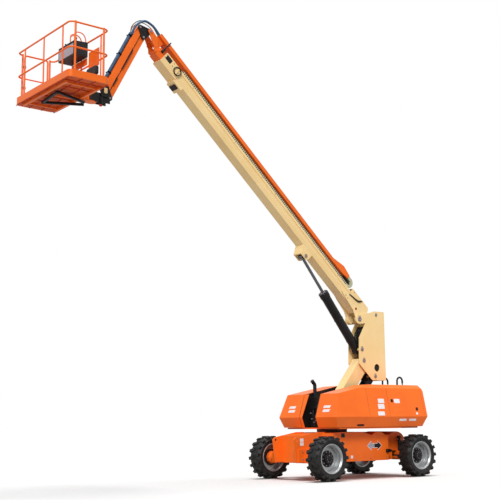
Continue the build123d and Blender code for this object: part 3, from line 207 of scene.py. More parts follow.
def dress_nodes():
    """Gives each CAD node the finish of its material slot."""
    slots = {s["node"]: s["material_slot"] for s in frame["record"]["subparts"]}
    for name, made in frame["nodes"].items():
        made.data.materials.clear()
        made.data.materials.append(SLOT_FINISH[slots[name]])


dress_nodes()


# Mesh tools: each returns (points, faces) in metres
def unit(vector):
    """Vector of length one."""
    vector = np.array(vector, float)
    return vector / np.linalg.norm(vector)


def place(origin, u, v):
    """Local axes at an origin: u, v, and w square to both."""
    u, v = unit(u), unit(v)
    return np.array(origin, float), u, v, np.cross(u, v)


def inset(outline, amount):
    """Closed outline whose sides all move inwards by an amount, with mitred corners."""
    points = np.array(outline, float)
    before, after = points - np.roll(points, 1, axis=0), np.roll(points, -1, axis=0) - points
    normals = []
    for edge in (before, after):
        edge = edge / np.linalg.norm(edge, axis=1)[:, None]
        normals.append(np.stack([-edge[:, 1], edge[:, 0]], axis=1))
    area = np.sum(points[:, 0] * np.roll(points[:, 1], -1) - points[:, 1] * np.roll(points[:, 0], -1))
    mitre = (normals[0] + normals[1]) / (1 + np.sum(normals[0] * normals[1], axis=1))[:, None]
    return points + np.sign(area) * amount * mitre


def rings_to_mesh(rings, closed=False):
    """Skin over rings of equal length: quads from ring to ring, and a cap on each end."""
    count = len(rings[0])
    points = np.concatenate(rings)
    faces = []
    for index in range(len(rings) - (0 if closed else 1)):
        a, b = index * count, ((index + 1) % len(rings)) * count
        for k in range(count):
            faces.append((a + k, a + (k + 1) % count, b + (k + 1) % count, b + k))
    if not closed:
        faces.append(tuple(range(count))[::-1])
        faces.append(tuple(range((len(rings) - 1) * count, len(rings) * count)))
    return points, faces


def prism(outline, at, low, high, bevel=0.0):
    """Plate of an outline in (u, v) from low to high along w, with its edges chamfered by a bevel."""
    origin, u, v, w = at
    rings = []
    for shrink, height in ((bevel, low), (0, low + bevel), (0, high - bevel), (bevel, high)):
        ring = inset(outline, shrink) if shrink else np.array(outline, float)
        rings.append(origin + ring[:, :1] * u + ring[:, 1:2] * v + height * w)
    return rings_to_mesh(rings if bevel else rings[1:3])


# A turned piece comes to a point at this radius, so that its rings keep their corners
THINNEST = 1e-5


def lathe(profile, at, sides=28, closed=False):
    """Turned solid: each (radius, height) of a profile sweeps a circle about w."""
    origin, u, v, w = at
    turn = np.linspace(0, 2 * PI, sides, endpoint=False)[:, None]
    circle = np.cos(turn) * u + np.sin(turn) * v
    rings = [origin + max(radius, THINNEST) * circle + height * w for radius, height in profile]
    return rings_to_mesh(rings, closed)


def smooth_line(points, cuts=3):
    """Line with its corners cut at a quarter and three quarters of each run, some times over."""
    line = np.array(points, float)
    for _ in range(cuts):
        near, far = line[:-1] * 0.75 + line[1:] * 0.25, line[:-1] * 0.25 + line[1:] * 0.75
        line = np.concatenate([line[:1], np.stack([near, far], axis=1).reshape(-1, 3), line[-1:]])
    return line


def tube(points, radius, sides=10, cuts=3):
    """Round bar: a circle carried along a smoothed line, kept square to it."""
    line = smooth_line(points, cuts)
    heading = np.gradient(line, axis=0)
    heading /= np.linalg.norm(heading, axis=1)[:, None]
    across = np.cross(heading[0], (0.31, 0.17, 0.93))
    turn = np.linspace(0, 2 * PI, sides, endpoint=False)[:, None]
    rings = []
    for middle, forward in zip(line, heading):
        across = unit(across - np.dot(across, forward) * forward)
        over = np.cross(forward, across)
        rings.append(middle + radius * (np.cos(turn) * across + np.sin(turn) * over))
    return rings_to_mesh(rings)


def polygon(sides, radius, middle=(0.0, 0.0), turn=0.0):
    """Corners of a regular polygon."""
    return [(middle[0] + radius * math.cos(turn + 2 * PI * k / sides),
             middle[1] + radius * math.sin(turn + 2 * PI * k / sides)) for k in range(sides)]


def rectangle(low_u, high_u, low_v, high_v, corner=0.0):
    """Rectangle in (u, v) with cut corners."""
    if not corner:
        return [(low_u, low_v), (high_u, low_v), (high_u, high_v), (low_u, high_v)]
    c = corner
    return [(low_u + c, low_v), (high_u - c, low_v), (high_u, low_v + c), (high_u, high_v - c),
            (high_u - c, high_v), (low_u + c, high_v), (low_u, high_v - c), (low_u, low_v + c)]


# Bolt, in shares of the head's radius: width and height of the washer, height of both, chamfers
WASHER_WIDTH, WASHER_HEIGHT, BOLT_HEIGHT, WASHER_CHAMFER, HEAD_CHAMFER = 1.35, 0.35, 1.1, 0.08, 0.14


def bolt(at, middle, base, radius, side=1):
    """Hexagon bolt head with a chamfered top, on a washer; side -1 looks down w."""
    seat, top = base + side * radius * WASHER_HEIGHT, base + side * radius * BOLT_HEIGHT
    round_plate, hexagon = polygon(14, radius * WASHER_WIDTH, middle), polygon(6, radius, middle, 0.3)
    return [prism(round_plate, at, *sorted((base, seat)), radius * WASHER_CHAMFER),
            prism(hexagon, at, *sorted((seat, top)), radius * HEAD_CHAMFER)]


# Edges that fold more than this stay sharp
SHARP_FOLD = math.radians(32)


def add_piece(name, parts, finish, body):
    """One object from several meshes with its normals outwards, riding on a body where one is named."""
    points, faces, start = [], [], 0
    for part_points, part_faces in parts:
        points.append(part_points)
        faces += [tuple(start + i for i in face) for face in part_faces]
        start += len(part_points)
    mesh = bpy.data.meshes.new(name)
    mesh.from_pydata(np.concatenate(points).tolist(), [], faces)
    shape = bmesh.new()
    shape.from_mesh(mesh)
    bmesh.ops.recalc_face_normals(shape, faces=shape.faces)
    shape.to_mesh(mesh)
    shape.free()
    made = bpy.data.objects.new(name, mesh)
    bpy.context.scene.collection.objects.link(made)
    mesh.materials.append(finish)
    mesh.polygons.foreach_set("use_smooth", [True] * len(mesh.polygons))
    mesh.set_sharp_from_angle(angle=SHARP_FOLD)
    if body:
        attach(made, body)
    return made


# Places in metres, in the CAD's frame. The axes of boom and jib run along them, over them and across them
BOOM_ANGLE = math.radians(42.2)
BOOM = place((0.863, 0, 3.963), (-math.cos(BOOM_ANGLE), 0, math.sin(BOOM_ANGLE)),
             (math.sin(BOOM_ANGLE), 0, math.cos(BOOM_ANGLE)))
JIB_ANGLE = math.radians(62.0)
JIB = place((-5.7484, 0, 10.2866), (-math.cos(JIB_ANGLE), 0, -math.sin(JIB_ANGLE)),
            (-math.sin(JIB_ANGLE), 0, math.cos(JIB_ANGLE)))
LIFT_ALONG = (-0.6254, 0, 0.7803)
# Height of the platform's floor and x of its middle
FLOOR_Z = 8.3198
PLATFORM_X = -7.6665
# A piece that lies on a CAD face starts this far off it
SEAT = 0.0003


def world(at, u, v, w=0.0):
    """World point of local coordinates."""
    return at[0] + u * at[1] + v * at[2] + w * at[3]


def moved(at, u, v, w=0.0):
    """The same axes at another of their points."""
    return place(world(at, u, v, w), at[1], at[2])


def turned(at, turn):
    """The same axes turned about w."""
    return place(at[0], math.cos(turn) * at[1] + math.sin(turn) * at[2],
                 -math.sin(turn) * at[1] + math.cos(turn) * at[2])


def level_at(x, y, z):
    """Level axes at a point: u along x, v along y and w up."""
    return place((x, y, z), (1, 0, 0), (0, 1, 0))


def across_at(x, y=0.0, z=0.0):
    """Upright plane across the machine: u along y, v up and w along x."""
    return place((x, y, z), (0, 1, 0), (0, 0, 1))


def span(side, near, far):
    """Two distances on one side of the middle, the lower first."""
    return sorted((side * near, side * far))


def pin_head(at, side, radius, top_radius, base, edge, top, sides=22):
    """Turned head of a pin: a cylinder from base to edge that narrows to its top."""
    profile = ((radius, side * base), (radius, side * edge), (top_radius, side * top), (0.0, side * top))
    return lathe(profile, at, sides)


def side_plane(side, y=0.0):
    """Upright plane that looks out of one side of the machine; u runs with -side times x."""
    return place((0, side * y, 0), (-side, 0, 0), (0, 0, 1))


# Upright plane along the machine's middle: u along x, v up
MIDDLE = place((0, 0, 0), (1, 0, 0), (0, 0, 1))

# Wheels: name, x, side of the machine
WHEELS = (
    ("fixed_right", -1.150, -1), ("fixed_left", -1.150, 1),
    ("steer_right", 1.900, -1), ("steer_left", 1.900, 1),
)
# Distance of a rim's disc from the middle, and height of the axles
DISC_Y, AXLE_Z = 1.055, 0.520
# Turned profiles: radius, and height from the disc of the rim
HUB = ((0.190, -0.001), (0.190, 0.010), (0.182, 0.018), (0.138, 0.021), (0.134, 0.058), (0.126, 0.070),
       (0.098, 0.076), (0.095, 0.083), (0.036, 0.085), (0.030, 0.093), (0.0, 0.094))
RIM_BEAD = ((0.312, 0.146), (0.316, 0.158), (0.326, 0.167), (0.337, 0.169), (0.346, 0.164), (0.345, 0.155),
            (0.330, 0.152), (0.322, 0.142))
RIM_STEP = ((0.2985, 0.060), (0.2985, 0.040), (0.288, 0.036), (0.286, 0.046), (0.292, 0.058))
SIDE_RING = ((0.395, 0.1775), (0.398, 0.1835), (0.402, 0.1845), (0.405, 0.1805))

# The inner ring of a tyre's side lies this much further in and lower
RING_STEP, RING_DROP = 0.035, 0.0095
# Ribs on a tyre's side: how many, foot, height, inner and outer radius, half the width
RIB_COUNT, RIB_FOOT, RIB_HEIGHT, RIB_INNER, RIB_OUTER, RIB_HALF = 34, 0.176, 0.0135, 0.412, 0.438, 0.009
# Nuts of a hub: how many, radius of their circle, turn, height of the seat, radius of one
NUT_CIRCLES = ((10, 0.160, 0.0, 0.019, 0.0135), (8, 0.078, 0.2, 0.083, 0.008))


def dress_wheels():
    """Hub covers, nuts, rim beads and the moulded rings and ribs of the tyre sides."""
    for name, x, side in WHEELS:
        body = "wheel_" + name
        at = place((x, side * DISC_Y, AXLE_Z), (-side, 0, 0), (0, 0, 1))
        add_piece("hub_" + name, [lathe(HUB, at, 40)], BLACK, body)
        nuts = []
        for count, radius, turn, seat, size in NUT_CIRCLES:
            for middle in polygon(count, radius, turn=turn):
                nuts += bolt(at, middle, seat, size)
        add_piece("nuts_" + name, nuts, STEEL, body)
        back = [(r, -h) for r, h in RIM_BEAD]
        beads = [lathe(profile, at, 72, closed=True) for profile in (RIM_BEAD, RIM_STEP, back)]
        add_piece("rim_beads_" + name, beads, SILVER, body)
        moulded = []
        for face in (-1, 1):
            outer = [(r, face * h) for r, h in SIDE_RING]
            inner = [(r - RING_STEP, face * (h - RING_DROP)) for r, h in SIDE_RING]
            moulded += [lathe(outer, at, 96, closed=True), lathe(inner, at, 96, closed=True)]
            for rib in range(RIB_COUNT):
                out = turned(moved(at, 0, 0, face * RIB_FOOT), 2 * PI * rib / RIB_COUNT)
                low, high = sorted((0.0, face * RIB_HEIGHT))
                outline = rectangle(RIB_INNER, RIB_OUTER, -RIB_HALF, RIB_HALF)
                moulded.append(prism(outline, out, low, high, 0.003))
        add_piece("tyre_ribs_" + name, moulded, RUBBER, body)


# Chassis side: distance from the middle, and x and height of the double arrow's middle
CHASSIS_Y, ARROW_X, ARROW_Z = 0.670, 0.798, 0.777
# Half of the double arrow from its middle: along, up
ARROW_TIP = 0.244
ARROW_HALF = ((0.0, -0.047), (0.108, -0.047), (0.108, -0.098), (ARROW_TIP, 0.0), (0.108, 0.098),
              (0.108, 0.047), (0.0, 0.047))
# White edge of the arrow: how much further its tips reach, and how many times as tall it is
EDGE_REACH, EDGE_TALLER = 0.012, 1.22
# Heights of the white vinyl and of the arrow that lies on it
VINYL_TOP, ARROW_TOP = 0.0018, 0.0030
# Blank labels on the steered end's plates: low and high z
END_PLATE_Y, END_LABELS = 0.400, ((0.908, 0.984), (0.818, 0.896))
# Bolts beside the fixed axle and along the frame
AXLE_BOLTS = ((-1.36, 0.50), (-1.36, 0.66), (-0.94, 0.50), (-0.94, 0.66))
FRAME_BOLT_XS, FRAME_BOLT_Z = (-0.45, 0.10, 0.65, 1.20), 0.470
# Turned profiles: radius, and distance along the piece's own axis
STEERING_BARREL = ((0.0, 1.300), (0.024, 1.300), (0.024, 1.338), (0.029, 1.340), (0.029, 1.360),
                   (0.012, 1.362), (0.012, 1.376), (0.0, 1.376))
MOTOR = ((0.0, 0.790), (0.105, 0.792), (0.118, 0.812), (0.118, 0.880), (0.152, 0.900), (0.158, 0.920),
         (0.158, 0.985), (0.0, 0.985))
FLANGE = ((0.0, 0.985), (0.196, 0.985), (0.200, 0.990), (0.200, 1.010), (0.186, 1.018), (0.0, 1.018))
SLEW_BEARING = ((0.3655, 1.118), (0.376, 1.121), (0.376, 1.151), (0.3655, 1.154))
SLEW_RACE = ((0.3655, 1.157), (0.378, 1.160), (0.378, 1.190), (0.3655, 1.193))


def dress_chassis():
    """Arrow, blank labels, window, bolts, steering cylinder, wheel motors, slew rings and axle hoses."""
    dark, grey, white, bolts, cylinder = [], [], [], [], []
    for side in (-1, 1):
        at = side_plane(side, CHASSIS_Y)
        middle = -side * ARROW_X
        for turn, into in ((1, dark), (-1, grey)):
            half = [(middle + turn * u, ARROW_Z + v) for u, v in ARROW_HALF][::turn]
            into.append(prism(half, at, VINYL_TOP, ARROW_TOP))
        edge = [(u + (EDGE_REACH if u == ARROW_TIP else 0), v * EDGE_TALLER) for u, v in ARROW_HALF[1:-1]]
        outline = [(middle + u, ARROW_Z + v) for u, v in edge]
        outline += [(middle - u, ARROW_Z + v) for u, v in edge[::-1]]
        white.append(prism(outline, at, SEAT, VINYL_TOP))
        window = rectangle(*span(-side, -0.325, -0.205), 0.992, 1.092, 0.012)
        dark.append(prism(window, at, SEAT, 0.0040, 0.001))
        low_label = rectangle(*span(side, 0.018, -0.055), 0.486, 0.556, 0.004)
        white.append(prism(low_label, at, SEAT, 0.0015))
        for low, high in END_LABELS:
            label = rectangle(*span(side, 1.412, 1.300), low, high, 0.005)
            white.append(prism(label, side_plane(side, END_PLATE_Y), SEAT, VINYL_TOP))
        for x, z in AXLE_BOLTS:
            bolts += bolt(side_plane(side, 0.435), (-side * x, z), 0.0, 0.013)
        for x in FRAME_BOLT_XS:
            bolts += bolt(at, (-side * x, FRAME_BOLT_Z), 0.0, 0.010)
        clamp = rectangle(*span(-side, 1.190, 1.320), 0.600, 0.684, 0.010)
        cylinder.append(prism(clamp, at, SEAT, 0.052, 0.006))
        cylinder.append(lathe(STEERING_BARREL, across_at(0, side * 0.6975, 0.642), 22))
    add_piece("chassis_dark_marks", dark, BLACK, "chassis")
    add_piece("chassis_arrow_grey", grey, GREY_MARK, "chassis")
    add_piece("chassis_blank_labels", white, LABEL, "chassis")
    add_piece("chassis_bolts", bolts, STEEL, "chassis")
    add_piece("steering_cylinder", cylinder, BLACK, "chassis")
    motors, flanges = [], []
    for side in (-1, 1):
        origin, u, v, _ = place((WHEELS[0][1], 0, AXLE_Z), (side, 0, 0), (0, 0, 1))
        at = (origin, u, v, np.array((0.0, side, 0.0)))
        motors.append(lathe(MOTOR, at, 10))
        flanges.append(lathe(FLANGE, at, 36))
        for middle in polygon(10, 0.178, turn=0.1):
            flanges += bolt(at, middle, FLANGE[0][1], 0.010, -1)
    add_piece("wheel_motors", motors, CASTING, "chassis")
    add_piece("wheel_motor_flanges", flanges, BLACK, "chassis")
    up = level_at(0, 0, 0)
    add_piece("slew_bearing", [lathe(SLEW_BEARING, up, 96, True)], BLACK, "chassis")
    add_piece("slew_race", [lathe(SLEW_RACE, up, 96, True)], BLACK, "turntable")
    hose = []
    for y in (-0.20, -0.155, 0.12, 0.165):
        hose.append(tube(((1.44, y, 1.00), (1.50, y, 0.80), (1.62, y * 1.4, 0.70), (1.80, y * 2.2, 0.665),
                          (1.90, y * 2.8, 0.652)), 0.011))
    add_piece("axle_hoses", hose, HOSE, "chassis")


# Labels on a hood side: low and high x, low and high z
HOOD_LABELS = (
    (0.655, 0.865, 1.810, 1.916), (0.628, 0.846, 1.668, 1.788), (0.584, 0.815, 1.507, 1.604),
    (1.224, 1.422, 1.810, 1.914), (1.943, 2.010, 1.526, 1.582),
)
HOOD_LOW_LABELS = ((1.340, 1.590, 1.371, 1.424), (1.694, 1.946, 1.371, 1.424))
# Labels on a hood front: distance from the middle, low and high z
HOOD_FRONT_LABELS = ((0.497, 0.765, 1.699, 1.757), (0.500, 0.765, 1.602, 1.664))
# Door: low and high x, low and high z
HOOD_DOOR = (1.040, 1.500, 1.590, 2.050)
# Latches: x, z
LATCHES = ((1.142, 1.870), (2.000, 1.666))
# Seam strips: x, and low and high z of them all
SEAM_XS, SEAM_Z = (1.010, 2.255, 0.300), (1.500, 2.165)
RIVET_XS, RIVET_ZS = (0.06, 0.34, 0.62, 0.90, 1.56, 1.84, 2.12), (1.520, 2.140)
# Vent: low and high x, low and high z; its slots: how many, first x, pitch, width
VENT = (-0.090, 0.142, 1.262, 1.304)
VENT_SLOTS, VENT_START, VENT_PITCH, VENT_WIDTH = 7, -0.078, 0.031, 0.022
# Crease round a hood: distance from the middle, x at the front, height
CREASE_Y, CREASE_X, CREASE_Z = 1.060, -0.812, 1.480
# How far each plane leans over its height: above the crease, below it, at the front
UPPER_LEAN, LOWER_LEAN, FRONT_LEAN = (0.150, 0.700), (0.090, 0.255), (0.184, 0.560)
UPPER_RISE, LOWER_RISE, FRONT_RISE = (math.hypot(1, a / b) for a, b in (UPPER_LEAN, LOWER_LEAN, FRONT_LEAN))


def hood_planes(side):
    """Side plane above the crease, side plane below it, and the front plane of a hood."""
    crease = (0, side * CREASE_Y, CREASE_Z)
    upper = place(crease, (-side, 0, 0), (0, -side * UPPER_LEAN[0], UPPER_LEAN[1]))
    lower = place(crease, (-side, 0, 0), (0, side * LOWER_LEAN[0], LOWER_LEAN[1]))
    front = place((CREASE_X, 0, CREASE_Z), (0, -1, 0), (FRONT_LEAN[0], 0, FRONT_LEAN[1]))
    return upper, lower, front


def on_slope(z, rise):
    """Distance along a leaning plane from the crease to a height."""
    return (z - CREASE_Z) * rise


def hood_plate(side, plane, rise, row, low, high, corner=0.0, bevel=0.0):
    """Plate on a hood's plane, from a row of low and high x, low and high z."""
    v = (on_slope(row[2], rise), on_slope(row[3], rise))
    return prism(rectangle(*span(-side, row[0], row[1]), *v, corner), plane, low, high, bevel)


def dress_hoods():
    """Blank labels, latches, door, seams, vents and rivets on both hoods."""
    for side, body in ((-1, "hood_right"), (1, "hood_left")):
        upper, lower, front = hood_planes(side)
        labels = [hood_plate(side, upper, UPPER_RISE, row, SEAT, 0.0042, 0.006) for row in HOOD_LABELS]
        labels += [hood_plate(side, lower, LOWER_RISE, row, SEAT, 0.0016, 0.006) for row in HOOD_LOW_LABELS]
        for near, far, low, high in HOOD_FRONT_LABELS:
            u = span(-side, near, far)
            v = (on_slope(low, FRONT_RISE), on_slope(high, FRONT_RISE))
            outline = [(u[0], v[0]), (u[1] - 0.03, v[0]), (u[1], v[1]), (u[0] + 0.03, v[1])]
            labels.append(prism(outline, front, SEAT, 0.0016))
        dark = []
        for x, z in LATCHES:
            u, v = -side * x, on_slope(z, UPPER_RISE)
            case = rectangle(u - 0.040, u + 0.040, v - 0.040, v + 0.040, 0.014)
            dark.append(prism(case, upper, SEAT, 0.007, 0.002))
            grip = rectangle(u - 0.022, u + 0.026, v - 0.016, v + 0.016, 0.006)
            dark.append(prism(grip, upper, 0.007, 0.013, 0.002))
        orange = [hood_plate(side, upper, UPPER_RISE, HOOD_DOOR, SEAT, 0.0028, 0.045, 0.001)]
        dark.append(hood_plate(side, lower, LOWER_RISE, VENT, SEAT, 0.0060, 0.012, 0.002))
        for slot in range(VENT_SLOTS):
            start = VENT_START + slot * VENT_PITCH
            row = (start, start + VENT_WIDTH, 1.268, 1.298)
            dark.append(hood_plate(side, lower, LOWER_RISE, row, 0.0060, 0.0120, 0.003, 0.001))
        for x in SEAM_XS:
            dark.append(hood_plate(side, upper, UPPER_RISE, (x, x + 0.004, *SEAM_Z), SEAT, 0.0010))
        rivets = []
        for x in RIVET_XS:
            for z in RIVET_ZS:
                u, v = -side * x, on_slope(z, UPPER_RISE)
                rivets.append(prism(polygon(10, 0.008, (u, v)), upper, 0.0, 0.003, 0.001))
        add_piece("labels_" + body, labels, LABEL, body)
        add_piece("fittings_" + body, dark, BLACK, body)
        add_piece("door_" + body, orange, ORANGE, body)
        add_piece("rivets_" + body, rivets, ORANGE, body)


# Hoses in the front gap: y, height at the front, reach, drop
GAP_HOSES = ((-0.20, 1.74, 0.30, 0.34), (-0.13, 1.66, 0.34, 0.30), (-0.06, 1.80, 0.26, 0.42),
             (0.02, 1.58, 0.36, 0.22), (0.08, 1.70, 0.30, 0.36), (-0.17, 1.52, 0.36, 0.20))
# Fittings in the front gap: y, z
GAP_FITTINGS = ((-0.215, 1.42), (-0.215, 1.50), (-0.10, 1.40), (0.06, 1.44), (0.10, 1.58), (-0.14, 1.60),
                (-0.02, 1.36))
FITTING_STEM = ((0.010, -0.046), (0.010, -0.030), (0.007, -0.028), (0.007, 0.02))
# Boxes in the front gap: low and high y, low and high z, corner, front and back, chamfer
GAP_BOXES = ((-0.235, -0.060, 1.262, 1.640, 0.012, -0.012, 0.14, 0.005),
             (-0.030, 0.120, 1.262, 1.520, 0.012, -0.012, 0.14, 0.005),
             (-0.255, 0.090, 1.700, 1.735, 0.008, 0.00, 0.10, 0.005),
             (-0.262, 0.262, 1.262, 1.985, 0.020, 0.060, 0.066, 0.002))
# Exhaust tip: radius and distance along the pipe
EXHAUST_TIP = ((0.041, -0.012), (0.048, -0.012), (0.050, -0.006), (0.050, 0.004), (0.045, 0.006),
               (0.041, 0.002))
# Lifting loops: x of the middle, z where the bend starts, radius of the bend
LOOP_X, LOOP_Z, LOOP_BEND = 2.213, 2.397, 0.098


def dress_turntable():
    """Front gap's hoses, fittings and boxes, lifting loop sleeves, exhaust tip and counterweight bolts."""
    hoses, fittings, boxes = [], [], []
    for y, z, reach, drop in GAP_HOSES:
        hoses.append(tube(((-0.52, y, 1.32), (-0.56, y, z - 0.12), (-0.50, y, z),
                           (-0.50 + reach / 2, y * 0.8, z + 0.03), (-0.50 + reach, y * 0.7, z - drop / 2),
                           (-0.42 + reach, y * 0.6, 1.30)), 0.016))
    for y, z in GAP_FITTINGS:
        at = across_at(-0.585, y, z)
        fittings.append(prism(polygon(6, 0.015), at, -0.030, 0.006, 0.003))
        fittings.append(lathe(FITTING_STEM, at, 12))
    for low_y, high_y, low_z, high_z, corner, front, back, chamfer in GAP_BOXES:
        outline = rectangle(low_y, high_y, low_z, high_z, corner)
        boxes.append(prism(outline, across_at(-0.56), front, back, chamfer))
    add_piece("gap_hoses", hoses, HOSE, "turntable")
    add_piece("gap_fittings", fittings, STEEL, "turntable")
    add_piece("gap_boxes", boxes, BLACK, "turntable")
    sleeves = []
    for y in (-0.262, 0.262):
        turn = np.linspace(0, PI, 13)
        arch = [(LOOP_X - LOOP_BEND * math.cos(t), y, LOOP_Z + LOOP_BEND * math.sin(t)) for t in turn]
        sleeves.append(tube([(2.115, y, 2.290), *arch, (2.311, y, 2.340)], 0.0235, 12, 1))
    add_piece("lifting_loop_sleeves", sleeves, BLACK, "turntable")
    tip = place((-0.4134, 0.235, 2.3734), (0, 1, 0), (0.7071, 0, 0.7071))
    add_piece("exhaust_tip", [lathe(EXHAUST_TIP, tip, 28, True)], BLACK, "turntable")
    bolts = []
    rear = across_at(2.332)
    for y in (-0.22, -0.075, 0.075, 0.22):
        bolts += bolt(rear, (y, 1.345), -0.001, 0.013)
    add_piece("tail_bolts", bolts, STEEL, "turntable")


# Upright: pin heads as x, z, radius of the head
PIN_HEADS = (
    (0.863, 3.963, 0.064), (0.982, 2.904, 0.050), (1.372, 2.511, 0.046), (0.921, 3.192, 0.050),
    (1.467, 4.100, 0.044),
)
# Where a head sits across the upright: on its boss, and for the topmost pin on the plate
BOSS_SEAT, PLATE_SEAT, TOPMOST_Z = 0.2155, 0.205, 4.0
KEEPER_TOP = 0.2125


def dress_upright():
    """Dished pin heads with keeper plates, the dark duct between the plates and its hoses."""
    heads, keepers = [], []
    for side in (-1, 1):
        at = side_plane(side)
        for x, z, radius in PIN_HEADS:
            u = -side * x
            base = BOSS_SEAT if z < TOPMOST_Z else PLATE_SEAT
            spot = moved(at, u, z)
            dished = ((radius, base), (radius, base + 0.006), (radius * 0.9, base + 0.010),
                      (radius * 0.35, base + 0.010), (radius * 0.3, base + 0.006), (0.0, base + 0.006))
            heads.append(lathe(dished, spot, 28))
        for x, z, radius in PIN_HEADS[:4]:
            u = -side * x
            half, low, high = radius * 0.8, z + radius * 1.05, z + radius * 1.75
            outline = rectangle(u - half, u + half, low, high, 0.006)
            keepers.append(prism(outline, at, PLATE_SEAT, KEEPER_TOP, 0.002))
            for shift in (-0.45, 0.45):
                heads += bolt(at, (u + shift * radius, z + radius * 1.4), KEEPER_TOP, 0.008)
    add_piece("upright_pin_heads", heads, STEEL, "upright")
    add_piece("upright_keepers", keepers, CREAM, "upright")
    duct = [(1.075, 3.080), (1.055, 3.660), (1.120, 3.790), (1.400, 3.790), (1.400, 3.080)]
    dark = [prism(duct, MIDDLE, -0.150, 0.150, 0.010)]
    dark.append(prism(rectangle(1.330, 1.560, 2.600, 2.860, 0.02), MIDDLE, -0.172, 0.172, 0.008))
    add_piece("upright_duct", dark, BLACK, "upright")
    hoses = []
    for y in (-0.12, -0.06, 0.0, 0.06, 0.12):
        route = ((1.10, y, 3.62), (1.02, y, 3.66), (0.99, y, 3.55), (1.05, y, 3.30), (1.10, y, 3.16))
        hoses.append(tube(route, 0.014))
    add_piece("upright_hoses", hoses, HOSE, "upright")


# Power track: pitch of its links, how many, where the first lies along the boom, height over the boom's axis
LINK_PITCH, LINK_COUNT, LINK_START, LINK_RISE = 0.052, 132, 0.880, 0.3373
# Loop of the track: place of its centre along and over the boom, and radius
TRACK_LOOP_S, TRACK_LOOP_N, TRACK_LOOP_RADIUS = 0.845, 0.4803, 0.143
# Plates on a link's sides and pins in them: low and high across the boom
LINK_PLATES = ((-0.1625, -0.1585), (0.0385, 0.0425))
LINK_PINS = ((-0.1655, -0.1625), (0.0425, 0.0455))
# Hoses in the loop: place across the boom, and radius of the bend
LOOP_HOSES = ((-0.13, 0.030), (-0.10, 0.045), (-0.06, 0.036), (-0.02, 0.048), (0.01, 0.030))


def track_link(at):
    """Side plates, pins and cross bar of one link of the power track."""
    parts = []
    for low, high in LINK_PLATES:
        parts.append(prism(rectangle(-0.016, 0.016, 0.006, 0.074, 0.006), at, low, high, 0.0015))
    for low, high in LINK_PINS:
        parts.append(prism(polygon(8, 0.010, (0.0, 0.040)), at, low, high, 0.001))
    parts.append(prism(rectangle(-0.013, 0.013, 0.0795, 0.0835), at, -0.152, 0.032, 0.0015))
    return parts


def dress_track():
    """Links of the power track, one every 52 mm and four round its loop, painted shade between the links, and
    hoses.
    """
    links = []
    for index in range(LINK_COUNT):
        links += track_link(moved(BOOM, LINK_START + index * LINK_PITCH, LINK_RISE))
    for index in range(4):
        turn = -PI / 2 - (index + 0.5) * PI / 4
        out_s, out_n = math.cos(turn), math.sin(turn)
        foot = world(BOOM, TRACK_LOOP_S + TRACK_LOOP_RADIUS * out_s, TRACK_LOOP_N + TRACK_LOOP_RADIUS * out_n)
        along, inwards = out_n * BOOM[1] - out_s * BOOM[2], -out_s * BOOM[1] - out_n * BOOM[2]
        links += track_link(place(foot, along, inwards))
    add_piece("power_track_links", links, NYLON, "boom_base")
    # Black sheets between the links: painted shade of the gap
    track_gap_shade = []
    for index in range(LINK_COUNT):
        s = LINK_START + (index + 0.5) * LINK_PITCH
        track_gap_shade.append(prism(rectangle(s - 0.008, s + 0.008, 0.342, 0.412), BOOM, -0.1618, -0.1602))
        track_gap_shade.append(prism(rectangle(s - 0.008, s + 0.008, 0.4165, 0.4182), BOOM, -0.150, 0.030))
    add_piece("power_track_gap_shade", track_gap_shade, BLACK, "boom_base")
    hoses = []
    for y, bend in LOOP_HOSES:
        back = 0.84 - bend * 0.8
        route = ((1.10, -bend), (0.90, -bend), (back, -bend * 0.7), (back, bend * 0.7), (0.90, bend),
                 (1.10, bend * 0.9))
        hoses.append(tube([world(BOOM, s, TRACK_LOOP_N + n, y) for s, n in route], 0.010))
    add_piece("power_track_hoses", hoses, HOSE, "boom_base")


# Clamp ring on the boom's side: radius, and place across the boom
CLAMP_RING = ((0.088, -0.212), (0.100, -0.220), (0.112, -0.212), (0.112, -0.196), (0.100, -0.188),
              (0.088, -0.196))
# Slanted strap on the boom's side: along and over the boom
STRAP = ((0.985, 0.190), (1.330, 0.190), (1.410, 0.262), (1.060, 0.262))
# Bolts on the boom's side near its tail: along and over the boom
TAIL_BOLTS = ((0.55, 0.42), (0.62, 0.14), (0.72, 0.15))
# Round mark on the boom's tail: along and over the boom
TAIL_MARK = (0.240, 0.133)
# Pin of the knuckle: place along and over the boom
NOSE_PIN = (8.9236, 0.3847)
# Hoses clipped along the boom's tail: radius, and route along, over and across the boom
TAIL_HOSES = (
    (0.014, ((0.646, 0.249, -0.192), (0.50, 0.279, -0.194), (0.304, 0.306, -0.196), (0.235, 0.400, -0.190),
             (0.170, 0.480, -0.150), (0.130, 0.492, -0.080), (0.150, 0.476, -0.01))),
    (0.011, ((0.560, 0.275, -0.192), (0.42, 0.300, -0.196), (0.29, 0.350, -0.198), (0.215, 0.460, -0.170),
             (0.17, 0.492, -0.070), (0.20, 0.476, 0.02))),
)


